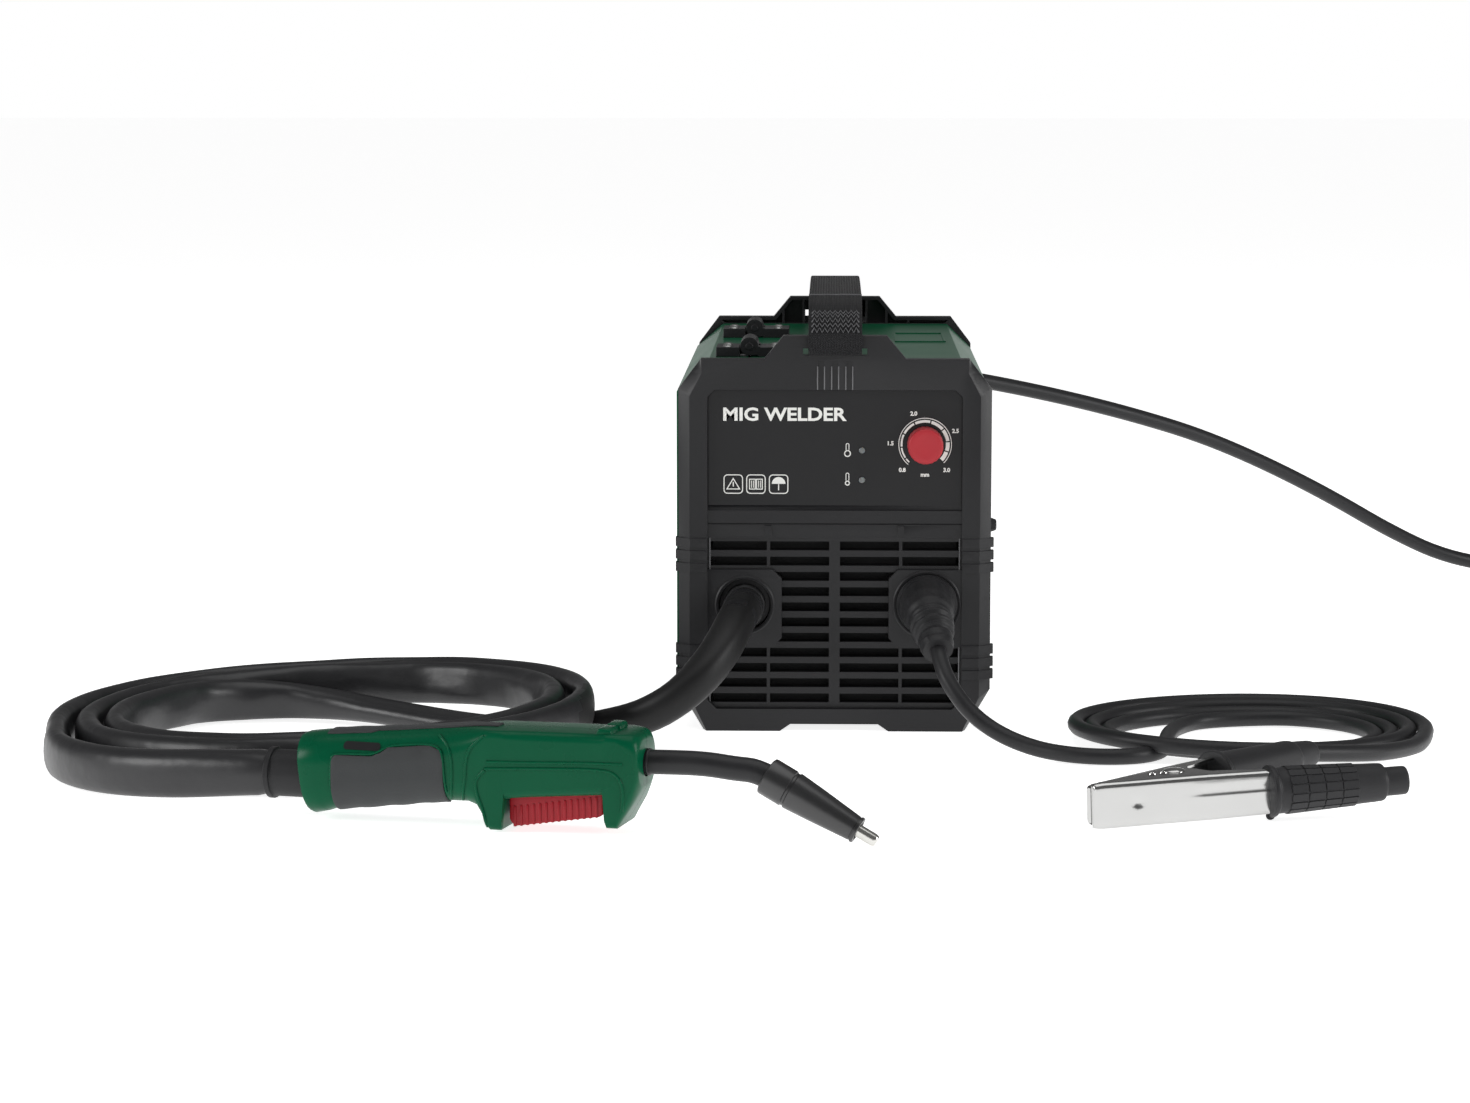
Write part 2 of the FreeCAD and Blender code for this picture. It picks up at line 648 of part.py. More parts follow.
def inverter_board():
    board = box((-18, 80), (-150, 120), (121, 122.6))
    caps = [rod(15, (60, y, 122.6), (60, y, 162)) for y in (-120, -84)]
    relay = box((-10, 18), (-140, -112), (122.6, 144))
    return joined([board] + caps + [relay])


def heatsink():
    base = box((-12, 76), (-50, 90), (122.6, 128))
    fins = [box((x, x + 2), (-50, 90), (128, 170)) for x in range(-12, 76, 8)]
    return joined([base] + fins)


def transformer():
    core = box((0, 62), (-30, 34), (6.3, 70)).cut([box((10, 24), (-40, 40), (18, 58)),
                                                   box((38, 52), (-40, 40), (18, 58))])
    winding = box((11, 51), (-42, 46), (19, 57)).cut(box((24, 38), (-31, 35), (0, 80)))
    return joined([core, winding])


# ---- Torch, in its own frame: u forwards, v across, w up ----
def place(at, yaw, pitch=0.0):
    turn = FreeCAD.Rotation(Z_UP, yaw)
    tip = FreeCAD.Rotation(V(0, 1, 0), pitch)
    return FreeCAD.Placement(at, turn.multiply(tip))


TORCH = place(TORCH_AT, TORCH_YAW)
SHELL_HALF_V = 17.5
TRIGGER_HALF_V = 12.4
SHELL_SIDE = [(-6.4, 2.5), (3.5, 5.0), (38, 9.2), (66.5, 12.7), (80, 14.0), (86, 10.0), (91, 0.6),
              (97, 0.6), (98, 17.0), (149.5, 21.2), (150.5, 5.0), (156, 5.0), (165.5, 22.0),
              (166.5, 34.0), (164, 51.0), (80, 50.2), (49.8, 48.2), (-11.0, 43.0)]
SHELL_ROUND = 14.0
BAY_U = (98.6, 148.8)
TOOTH_U = (110.5, 127.2, 144.2)
TRIGGER_PIVOT = (144.3, 22.6)
SLEEVE_W = 21.2
SLEEVE_END_U = -29.0


def shell_half(side):
    """One half of the handle; the two meet on the torch's middle plane."""
    v0, v1 = sorted((0.0, side * SHELL_HALF_V))
    body = prism_y(SHELL_SIDE, v0, v1)
    for u in TOOTH_U:
        body = body.fuse(prism_y([(u, 50), (u + 1.5, 52.8), (u + 7.5, 52.8), (u + 9, 50)],
                                 side * 2.0 if side > 0 else -12.0, 12.0 if side > 0 else -2.0))
    bar = box((-20, 180), (-SHELL_HALF_V, SHELL_HALF_V), (0, 54))
    along = [edge for edge in bar.Edges if edge.Length > 100]
    body = body.common(bar.makeFillet(SHELL_ROUND, along))
    bay = box(BAY_U, (-TRIGGER_HALF_V - 0.4, TRIGGER_HALF_V + 0.4), (0, 30))
    body = body.cut([rod(11.8, (-20, 0, SLEEVE_W), (1, 0, SLEEVE_W)),
                     rod(7, (0, 0, SLEEVE_W), (120, 0, 33.6)),
                     cone(6.3, 6.9, (110, 0, 35.2), (170, 0, 35.6)), bay])
    pivot_u, pivot_w = TRIGGER_PIVOT
    pin = rod(1.8, (pivot_u, side * 7.0, pivot_w), (pivot_u, side * 14.0, pivot_w))
    return joined([body, pin])


def torch_grip():
    """Soft pads: one on each side of the handle and one along its back."""
    side = [(7, 13.5), (66, 17.0), (67, 38), (40, 35.5), (34, 32), (8, 32.0)]
    pads = [prism_y(side, SHELL_HALF_V, SHELL_HALF_V + 0.9),
            prism_y(side, -SHELL_HALF_V - 0.9, -SHELL_HALF_V)]
    back = [(4, 44.6), (49.8, 48.25), (80, 50.25), (92, 50.4), (92, 51.3), (80, 51.2), (49.8, 49.2),
            (4, 45.5)]
    pads.append(prism_y(back, -5, 5))
    return apart([moved(pad, TORCH) for pad in pads])


def torch_trigger():
    side = [(99.6, 24.0), (99.6, 6.0), (101.5, 3.2), (105, 3.0), (146.3, 9.5), (148.0, 11.6),
            (147.8, 25.6), (141, 25.6)]
    body = prism_y(side, -TRIGGER_HALF_V, TRIGGER_HALF_V)
    grooves = []
    for i in range(9):
        u = 104.5 + i * 4.2
        low = 3.0 + (u - 105) * 0.159
        grooves.append(box((u, u + 1.4), (-20, 20), (low - 2, low + 1.0)))
    pivot = rod(1.8 + RUN, (TRIGGER_PIVOT[0], -20, TRIGGER_PIVOT[1]),
                (TRIGGER_PIVOT[0], 20, TRIGGER_PIVOT[1]))
    return body.cut(grooves + [pivot])


NOZZLE_AXIS = V(math.cos(math.radians(-28.5)), 0, math.sin(math.radians(-28.5)))
NOZZLE_AT = V(226.0, 0, 32.3)
NOZZLE_L = 52.0


def nozzle_point(distance):
    point = NOZZLE_AT + NOZZLE_AXIS * distance
    return (point.x, point.y, point.z)


def swan_neck():
    path = [(122, 0, 35.2), (150, 0, 35.2), (176, 0, 36.2), (196, 0, 36.4), (211, 0, 34.6),
            nozzle_point(-4), nozzle_point(8)]
    return tube("swan neck", path, 6.0)


def gas_nozzle():
    back = rod(9.4, nozzle_point(0), nozzle_point(13))
    groove = rod(8.8, nozzle_point(13), nozzle_point(14.4))
    nose = cone(9.4, 6.3, nozzle_point(14.4), nozzle_point(NOZZLE_L - 2))
    lip = rod(6.7, nozzle_point(NOZZLE_L - 2), nozzle_point(NOZZLE_L))
    whole = joined([back, groove, nose, lip])
    return whole.cut([rod(6.0, nozzle_point(-2), nozzle_point(8)),
                      rod(4.6, nozzle_point(8), nozzle_point(NOZZLE_L + 2))])


def contact_tip():
    stem = rod(4.6, nozzle_point(8), nozzle_point(20))
    tip = rod(3.2, nozzle_point(20), nozzle_point(NOZZLE_L + 9))
    end = cone(3.2, 2.4, nozzle_point(NOZZLE_L + 9), nozzle_point(NOZZLE_L + 10.2))
    bore = rod(0.6, nozzle_point(7), nozzle_point(NOZZLE_L + 12))
    return joined([stem, tip, end]).cut(bore)


def hose_sleeve():
    tube_part = rod(11.7, (SLEEVE_END_U + 3, 0, SLEEVE_W), (0.5, 0, SLEEVE_W))
    ring = rod(12.8, (SLEEVE_END_U, 0, SLEEVE_W), (SLEEVE_END_U + 3, 0, SLEEVE_W))
    return joined([tube_part, ring])


# ---- Torch hose ----
HOSE_LEAD = [(-50, HOSE_START_Y, 71), (-54, -209, 67), (-60, -231, 56), (-71, -245, 42),
             (-86, -249, 28.5), (-105, -244, 17.5), (-129, -233, 12)]
HOSE_CROSSING = [(-129, -233, 12), (-159, -224, 11), (-190, -214, 11), (-219, -196, 11),
                 (-249, -176, 11), (-283, -160, 11), (-320, -153, 11), (-352, -161, 11),
                 (-378, -184, 11.5)]
HOSE_TAIL = [(-410, -291, 12), (-408, -327, 12), (-393, -361, 12), (-368, -388, 13),
             (-338, -406, 15.5), (-311, -416.5, 18.5)]
HOSE_COIL_AT = (-276.0, -255.0)
HOSE_COIL_OUTER = (147.0, 143.0)
HOSE_COIL_INNER = (107.0, 103.0)
HOSE_BAND_H = 24.0
HOSE_COIL_TILT = 2.4


def hose_coil():
    centre = (*HOSE_COIL_AT, FLOOR_GAP)
    ring = oval_ring(centre, HOSE_COIL_OUTER, HOSE_COIL_INNER, HOSE_BAND_H)
    left = V(HOSE_COIL_AT[0] - HOSE_COIL_OUTER[0], 0, FLOOR_GAP)
    ring.rotate(left, V(0, 1, 0), -HOSE_COIL_TILT)
    return joined([ring, tube("hose crossing", HOSE_CROSSING, HOSE_R)])


def torch_hose():
    end = TORCH.multVec(V(SLEEVE_END_U, 0, SLEEVE_W))
    tail = HOSE_TAIL + [(end.x, end.y, end.z)]
    return apart([tube("hose lead", HOSE_LEAD, HOSE_R), tube("hose tail", tail, HOSE_R)])


# ---- Earth clamp, in its own frame: u along the near jaw, v across, w along the pivot ----
CLAMP = place(CLAMP_AT, CLAMP_YAW, CLAMP_PITCH)
JAW_TIP_U = -47.0
JAW_END_U = 44.0
JAW_V = -17.1
SHEET = 1.2
MIRROR_TURN = CLAMP_SPREAD / 2


def across_bisector(shape):
    """Mirror a near-side part into the far side of the clamp."""
    angle = math.radians(MIRROR_TURN)
    return shape.mirror(V(0, 0, 0), V(-math.sin(angle), math.cos(angle), 0))


def jaw(half_h, hole_r):
    """Bent sheet channel: web, two side plates and a turned-in tip."""
    web_side = [(JAW_TIP_U, -half_h), (JAW_END_U, 0.4 - half_h),
                (JAW_END_U, half_h - 0.4), (JAW_TIP_U, half_h)]
    web = prism_y(web_side, JAW_V, JAW_V + SHEET)
    plate = [(JAW_TIP_U, JAW_V), (JAW_END_U, JAW_V), (JAW_END_U, -12), (16, -7), (9, 6), (-8, 6),
             (-20, -5.9), (-33, -9.2), (JAW_TIP_U, -13.0)]
    plates = [prism_z(plate, z - SHEET / 2, z + SHEET / 2)
              for z in (SHEET / 2 - half_h, half_h - SHEET / 2)]
    plates = [p.common(prism_y(web_side, -30, 30)) for p in plates]
    tip = prism_z([(JAW_TIP_U, JAW_V), (JAW_TIP_U, -13.0), (-33, -9.2), (-33, -10.5),
                   (JAW_TIP_U + SHEET, -14.2), (JAW_TIP_U + SHEET, JAW_V)],
                  1.0 - half_h, half_h - 1.0)
    body = joined([web, tip] + plates)
    return body.cut(rod(hole_r, (0, 0, -20), (0, 0, 20)))


def grip_parts(tail):
    """Tapered rubber grip with a flange; a stub or a cable sleeve ends it."""
    v = JAW_V + 4.5
    parts = [rod(13.4, (JAW_END_U, v, 0), (JAW_END_U + 3, v, 0)),
             cone(11.8, 9.8, (JAW_END_U + 3, v, 0), (104, v, 0))]
    if tail == "stub":
        parts.append(rod(7.4, (104, v, 0), (116, v, 0)))
        return joined(parts).cut(rod(5.4, (106, v, 0), (118, v, 0)))
    parts.append(cone(8.6, 7.0, (104, v, 0), (CABLE_END_U, v, 0)))
    return joined(parts)


CABLE_END_U = 121.0


def clamp_pivot():
    heads = [rod(5.4, (0, 0, 11.5), (0, 0, 12.9)), rod(5.4, (0, 0, -12.9), (0, 0, -11.5))]
    return joined(heads + [rod(3.0, (0, 0, -12), (0, 0, 12))])


def clamp_spring():
    coil = rod(5.6, (0, 0, -7), (0, 0, 7)).cut(rod(4.2, (0, 0, -8), (0, 0, 8)))
    leg = box((0, 14), (-5.6, -4.2), (3.5, 4.9))
    far_leg = across_bisector(box((0, 14), (-5.6, -4.2), (-4.9, -3.5)))
    return joined([coil, leg, far_leg])


# ---- Earth cable ----
EARTH_LEAD = [PLUG_END, (58.5, -235, 44.5), (64.5, -243, 33.5), (74, -249, 22), (88, -256, 12.5),
              (106, -266, 6.5), (124, -277, 4.9), (144, -284, 4.9)]
EARTH_CROSSING = [(144, -284, 4.9), (164.5, -279.5, 4.9), (177, -262, 4.9), (180, -238, 4.9),
                  (184, -211, 4.9), (193, -182, 4.9)]
EARTH_TAIL = [(320, -216, 9), (321, -240, 8.5), (313, -266, 8.5), (298, -291, 10), (279, -315, 13)]
EARTH_COIL_AT = (226.0, -211.0)
EARTH_COIL_OUTER = (102.0, 86.0)
EARTH_COIL_INNER = (66.0, 53.0)
EARTH_COIL_H = 17.0


def ground_coil():
    ring = oval_ring((*EARTH_COIL_AT, FLOOR_GAP), EARTH_COIL_OUTER, EARTH_COIL_INNER, EARTH_COIL_H)
    return joined([ring, tube("earth crossing", EARTH_CROSSING, EARTH_R)])


def ground_cable():
    local = across_bisector(Part.Vertex(CABLE_END_U, JAW_V + 4.5, 0)).Vertexes[0].Point
    end = CLAMP.multVec(local)
    tail = EARTH_TAIL + [(end.x, end.y, end.z)]
    return apart([tube("earth lead", EARTH_LEAD, EARTH_R), tube("earth tail", tail, EARTH_R)])


# ---- Mains cord ----
MAINS_ROUTE = [(58, HALF_L + 22, 168), (62, 238, 167), (83, 266, 162), (119, 286, 154),
               (160, 303, 144), (205, 325, 131), (252, 350, 115), (300, 378, 93),
               (350, 410, 66), (396, 441, 38), (440, 467, 16), (488, 482, 6.4), (540, 481, 6.0)]
MAINS_COIL_AT = (555.0, 430.0)
MAINS_COIL_R = (62.0, 38.0)
MAINS_COIL_H = 21.0
MAINS_EXIT = [(606, 420, 14), (607, 400, 15.5), (607, 378, 17.5), (607, 356, 18.8)]
PLUG_AXIS_X = 607.0


def mains_coil():
    disc = (MAINS_COIL_R[0], MAINS_COIL_R[0])
    hole = (MAINS_COIL_R[1], MAINS_COIL_R[1])
    return oval_ring((*MAINS_COIL_AT, FLOOR_GAP), disc, hole, MAINS_COIL_H)


def mains_cord():
    return apart([tube("mains lead", MAINS_ROUTE, MAINS_R), tube("mains exit", MAINS_EXIT, MAINS_R)])


def mains_plug():
    x = PLUG_AXIS_X
    z = MAINS_EXIT[-1][2]
    y = MAINS_EXIT[-1][1]
    tail = cone(6.5, 8.5, (x, y, z), (x, y - 18, z))
    body = cone(13.0, 18.5, (x, y - 18, z), (x, y - 42, z))
    face = rod(18.5, (x, y - 42, z), (x, y - 50, z))
    pins = [rod(2.4, (x + side * 9.5, y - 50, z), (x + side * 9.5, y - 69, z)) for side in (-1, 1)]
    return joined([tail, body, face] + pins)


# ---- Write every sub-part ----
HOUSING = (front_panel, rear_panel, base_tray, right_cover, spool_door, door_latch, cover_screws,
           control_label, control_knob, pot_body, led_lenses, carry_strap, torch_gland,
           ground_socket, ground_plug, mains_gland, switch_bezel, switch_rocker)
INSIDE = (partition, spool_spindle, wire_spool, wire_winding, spool_nut, weld_wire, feeder_base,
          feed_motor, drive_roll, pressure_arm, pressure_roller, tension_knob, fan_frame,
          fan_rotor, inverter_board, heatsink, transformer)
CORDS = (torch_grip, torch_hose, hose_coil, ground_cable, ground_coil, mains_cord, mains_coil,
         mains_plug)
TORCH_PARTS = (torch_trigger, swan_neck, gas_nozzle, contact_tip, hose_sleeve)
CLAMP_PARTS = (clamp_pivot, clamp_spring)

for builder in HOUSING + INSIDE + CORDS:
    save(builder.__name__, builder())
for builder in TORCH_PARTS:
    save(builder.__name__, moved(builder(), TORCH))
for builder in CLAMP_PARTS:
    save(builder.__name__, moved(builder(), CLAMP))
save("torch_shell_left", moved(shell_half(1), TORCH))
save("torch_shell_right", moved(shell_half(-1), TORCH))
save("clamp_jaw_front", moved(jaw(11.5, 3.0), CLAMP))
save("clamp_jaw_rear", moved(across_bisector(jaw(10.2, 3.0 + RUN)), CLAMP))
save("clamp_grip_front", moved(grip_parts("stub"), CLAMP))
save("clamp_grip_rear", moved(across_bisector(grip_parts("sleeve")), CLAMP))
for label, hinge_y in zip(("front", "rear"), HINGE_Y):
    fixed_leaf, door_leaf = hinge_parts(hinge_y)
    save("fixed_leaf_" + label, fixed_leaf)
    save("door_leaf_" + label, door_leaf)
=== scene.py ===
"""Looks of a small flux-core MIG welding machine with its torch, earth clamp and cables.

Metres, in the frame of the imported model: X right, Y to the rear, Z up, the floor at zero.
Each operator makes one piece or one group of like pieces, and the panel lists them in order.
"""
import json
import math

import bmesh
import bpy
from mathutils import Matrix, Vector, noise

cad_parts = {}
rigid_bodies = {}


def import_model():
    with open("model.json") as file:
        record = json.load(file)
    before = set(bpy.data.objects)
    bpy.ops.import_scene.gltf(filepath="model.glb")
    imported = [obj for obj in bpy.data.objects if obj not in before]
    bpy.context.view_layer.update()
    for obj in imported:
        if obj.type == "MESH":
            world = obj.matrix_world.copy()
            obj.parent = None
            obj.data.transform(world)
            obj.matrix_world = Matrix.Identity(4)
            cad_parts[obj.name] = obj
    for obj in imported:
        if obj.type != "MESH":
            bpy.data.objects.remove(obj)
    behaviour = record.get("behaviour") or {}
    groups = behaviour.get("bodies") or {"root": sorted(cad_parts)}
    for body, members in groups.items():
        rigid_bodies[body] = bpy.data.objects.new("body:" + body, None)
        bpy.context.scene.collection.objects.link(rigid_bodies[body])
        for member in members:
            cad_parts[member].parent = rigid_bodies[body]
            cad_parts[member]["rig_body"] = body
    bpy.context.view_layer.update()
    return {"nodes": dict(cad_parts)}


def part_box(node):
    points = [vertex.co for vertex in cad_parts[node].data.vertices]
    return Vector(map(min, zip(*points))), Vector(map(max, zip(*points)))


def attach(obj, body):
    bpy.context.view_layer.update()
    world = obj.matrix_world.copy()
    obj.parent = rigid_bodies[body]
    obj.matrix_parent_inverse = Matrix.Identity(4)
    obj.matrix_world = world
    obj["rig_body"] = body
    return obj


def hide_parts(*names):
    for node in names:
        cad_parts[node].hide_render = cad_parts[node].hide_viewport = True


bl_info = {
    "name": "MIG welding machine",
    "version": (1, 0, 0),
    "blender": (4, 5, 0),
    "location": "View3D > Sidebar > Welder",
    "description": "Builds the visible pieces of a flux-core welding machine round its packed frame",
    "category": "Object",
}

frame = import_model()
NODES = frame["nodes"]
MM = 0.001
TAU = 2 * math.pi


# ---- Colour and material helpers ----
def linear(code):
    """Linear colour of an sRGB hex value such as 1f6b47."""
    shares = [int(code[i:i + 2], 16) / 255 for i in (0, 2, 4)]
    return [s / 12.92 if s <= 0.04045 else ((s + 0.055) / 1.055) ** 2.4 for s in shares] + [1.0]


def shade(code, share):
    """The same colour made lighter or darker."""
    return [min(1.0, c * share) for c in linear(code)[:3]] + [1.0]


def add_node(tree, kind, values=None, **settings):
    """One node: settings are its attributes, values its inputs, and a socket value is a link."""
    node = tree.nodes.new(kind)
    for key, value in settings.items():
        setattr(node, key, value)
    for key, value in (values or {}).items():
        if isinstance(value, bpy.types.NodeSocket):
            tree.links.new(value, node.inputs[key])
        else:
            node.inputs[key].default_value = value
    return node


def start_material(name, **shader_values):
    """Material with a Principled shader; keys are socket names with _ for a space."""
    material = bpy.data.materials.new(name)
    material.use_nodes = True
    tree = material.node_tree
    shader = tree.nodes["Principled BSDF"]
    for key, value in shader_values.items():
        shader.inputs[key.replace("_", " ")].default_value = value
    coords = add_node(tree, "ShaderNodeTexCoord").outputs["Object"]
    return material, tree, shader, coords


def per_size(size_mm):
    """Noise scale for features of this size."""
    return 1000.0 / size_mm


def mottle(tree, shader, coords, code, spread, size_mm, base_rough, rough_spread):
    """Uneven colour and gloss, as handling and moulding leave them."""
    cloud = add_node(tree, "ShaderNodeTexNoise",
                     {"Vector": coords, "Scale": per_size(size_mm), "Detail": 4.0})
    tone = add_node(tree, "ShaderNodeMix", {"Factor": cloud.outputs["Fac"]}, data_type="RGBA")
    sockets = {s.identifier: s for s in list(tone.inputs) + list(tone.outputs)}
    sockets["A_Color"].default_value = shade(code, 1 - spread)
    sockets["B_Color"].default_value = shade(code, 1 + spread)
    tree.links.new(sockets["Result_Color"], shader.inputs["Base Color"])
    gloss = add_node(tree, "ShaderNodeMapRange", {"Value": cloud.outputs["Fac"],
                     "To Min": base_rough - rough_spread, "To Max": base_rough + rough_spread})
    tree.links.new(gloss.outputs["Result"], shader.inputs["Roughness"])
    return cloud


def relief(tree, shader, height, depth_mm, below=None):
    """Bump of a real depth, on top of another bump where there is one."""
    bump = add_node(tree, "ShaderNodeBump", {"Height": height, "Distance": depth_mm * MM})
    if below is not None:
        tree.links.new(below.outputs["Normal"], bump.inputs["Normal"])
    tree.links.new(bump.outputs["Normal"], shader.inputs["Normal"])
    return bump


def grain(tree, shader, coords, size_mm, depth_mm, below=None):
    """Fine even texture, such as a spark-eroded mould leaves."""
    speck = add_node(tree, "ShaderNodeTexNoise",
                     {"Vector": coords, "Scale": per_size(size_mm), "Detail": 2.0})
    return relief(tree, shader, speck.outputs["Fac"], depth_mm, below)


def textured_abs(name, code, rough=0.42):
    """Moulded ABS: eroded mould texture, drawn 0.9 mm coarse so that it shows."""
    material, tree, shader, coords = start_material(name, IOR=1.53, Specular_IOR_Level=0.3)
    mottle(tree, shader, coords, code, 0.10, 45, rough, 0.05)
    grain(tree, shader, coords, 0.9, 0.035)
    return material


def smooth_plastic(name, code, rough=0.3, ior=1.5):
    """Polished mould: a soft sheen with slight flow marks."""
    material, tree, shader, coords = start_material(name, IOR=ior, Specular_IOR_Level=0.28)
    mottle(tree, shader, coords, code, 0.07, 20, rough, 0.04)
    grain(tree, shader, coords, 6.0, 0.03)
    return material


def coated_steel(name, code, rough=0.3):
    """Powder coating on sheet steel: orange peel about 2.5 mm across under a satin gloss."""
    material, tree, shader, coords = start_material(name, IOR=1.5, Specular_IOR_Level=0.12)
    mottle(tree, shader, coords, code, 0.06, 60, rough, 0.04)
    peel = grain(tree, shader, coords, 2.5, 0.02)
    grain(tree, shader, coords, 0.7, 0.01, peel)
    return material


def soft_rubber(name, code, rough=0.55, size_mm=1.2, depth_mm=0.05):
    """Moulded or extruded rubber: matte, with dust-dull patches."""
    material, tree, shader, coords = start_material(name, IOR=1.52, Sheen_Weight=0.03,
                                                    Specular_IOR_Level=0.3)
    mottle(tree, shader, coords, code, 0.14, 18, rough, 0.07)
    grain(tree, shader, coords, size_mm, depth_mm)
    return material


def bare_metal(name, code, rough=0.25, stretch=(1, 1, 1), line_mm=1.0, depth_mm=0.01):
    """Plain metal: fine marks run along the stretched axis of the pattern."""
    material, tree, shader, coords = start_material(name, Metallic=1.0)
    mottle(tree, shader, coords, code, 0.08, 12, rough, 0.06)
    turned = add_node(tree, "ShaderNodeMapping", {"Vector": coords, "Scale": stretch})
    lines = add_node(tree, "ShaderNodeTexNoise", {"Vector": turned.outputs["Vector"],
                     "Scale": per_size(line_mm), "Detail": 3.0})
    relief(tree, shader, lines.outputs["Fac"], depth_mm)
    return material


def nickel_plate(name):
    """Bright nickel on pressed steel: a mirror gloss with soft press waves and hairline scratches."""
    material, tree, shader, coords = start_material(name, Metallic=1.0)
    mottle(tree, shader, coords, "b9b9b8", 0.05, 25, 0.17, 0.05)
    waves = grain(tree, shader, coords, 14.0, 0.10)
    drawn = add_node(tree, "ShaderNodeMapping", {"Vector": coords, "Scale": (0.06, 1.0, 1.0),
                                                 "Rotation": (0, 0, -CLAMP_YAW)})
    hairs = add_node(tree, "ShaderNodeTexNoise", {"Vector": drawn.outputs["Vector"],
                     "Scale": per_size(1.1), "Detail": 4.0})
    relief(tree, shader, hairs.outputs["Fac"], 0.012, waves)
    return material


def woven_polypropylene(name, code):
    """Webbing: ribs 1.5 mm apart along it, crossed by picks 1.1 mm apart, read from its UV map in metres."""
    material, tree, shader, coords = start_material(name, IOR=1.49, Sheen_Weight=0.05,
                                                    Specular_IOR_Level=0.2)
    mottle(tree, shader, coords, code, 0.45, 1.6, 0.5, 0.08)
    uv = add_node(tree, "ShaderNodeUVMap", uv_map="run").outputs["UV"]
    ribs = add_node(tree, "ShaderNodeTexWave", {"Vector": uv, "Scale": TAU / 20 / (1.5 * MM)},
                    wave_type="BANDS", bands_direction="X")
    picks = add_node(tree, "ShaderNodeTexWave", {"Vector": uv, "Scale": TAU / 20 / (1.1 * MM)},
                     wave_type="BANDS", bands_direction="Y")
    both = add_node(tree, "ShaderNodeMath", {0: ribs.outputs["Fac"], 1: picks.outputs["Fac"]},
                    operation="MULTIPLY")
    relief(tree, shader, both.outputs["Value"], 0.45)
    return material


def hose_sheath(name, code):
    """Thin lay-flat PVC sleeve over the torch lines: soft gloss, with creases 8 mm and 25 mm apart."""
    material, tree, shader, coords = start_material(name, IOR=1.53, Specular_IOR_Level=0.45)
    mottle(tree, shader, coords, code, 0.12, 35, 0.40, 0.06)
    broad = grain(tree, shader, coords, 25.0, 0.9)
    creases = grain(tree, shader, coords, 8.0, 0.18, broad)
    grain(tree, shader, coords, 0.8, 0.02, creases)
    return material


def laminated_iron(name):
    """Stacked transformer sheets, drawn 1.2 mm thick so that they show."""
    material, tree, shader, coords = start_material(name, Metallic=0.6)
    mottle(tree, shader, coords, "4a4541", 0.15, 10, 0.5, 0.08)
    sheets = add_node(tree, "ShaderNodeTexWave", {"Vector": coords, "Scale": TAU / 20 / (1.2 * MM)},
                      wave_type="BANDS", bands_direction="Y")
    relief(tree, shader, sheets.outputs["Fac"], 0.15)
    return material


def wound_wire(name, code, pitch_mm, direction):
    """Close-wound round wire: one groove for each turn."""
    material, tree, shader, coords = start_material(name, Metallic=1.0)
    mottle(tree, shader, coords, code, 0.12, 8, 0.35, 0.06)
    turns = add_node(tree, "ShaderNodeTexWave",
                     {"Vector": coords, "Scale": TAU / 20 / (pitch_mm * MM)},
                     wave_type="BANDS", bands_direction=direction)
    relief(tree, shader, turns.outputs["Fac"], pitch_mm * 0.3)
    return material


def printed_ink(name, code):
    """Screen-printed ink: matte, slightly uneven."""
    material, tree, shader, coords = start_material(name, IOR=1.48)
    mottle(tree, shader, coords, code, 0.04, 4, 0.55, 0.04)
    grain(tree, shader, coords, 0.6, 0.008)
    return material


def lens_plastic(name):
    """Diffusing polycarbonate of an unlit lamp."""
    material, tree, shader, coords = start_material(name, IOR=1.58, Subsurface_Weight=0.2)
    mottle(tree, shader, coords, "6a6a6a", 0.08, 2, 0.2, 0.04)
    grain(tree, shader, coords, 0.8, 0.01)
    return material


def plain_floor(name, code):
    """Pale painted studio floor, lit a little from below so that it stays pale far away."""
    material, tree, shader, coords = start_material(name, Specular_IOR_Level=0.1,
                                                    Emission_Strength=0.92)
    shader.inputs["Emission Color"].default_value = linear(code)
    mottle(tree, shader, coords, code, 0.004, 400, 0.75, 0.02)
    return material


PALETTE = {}


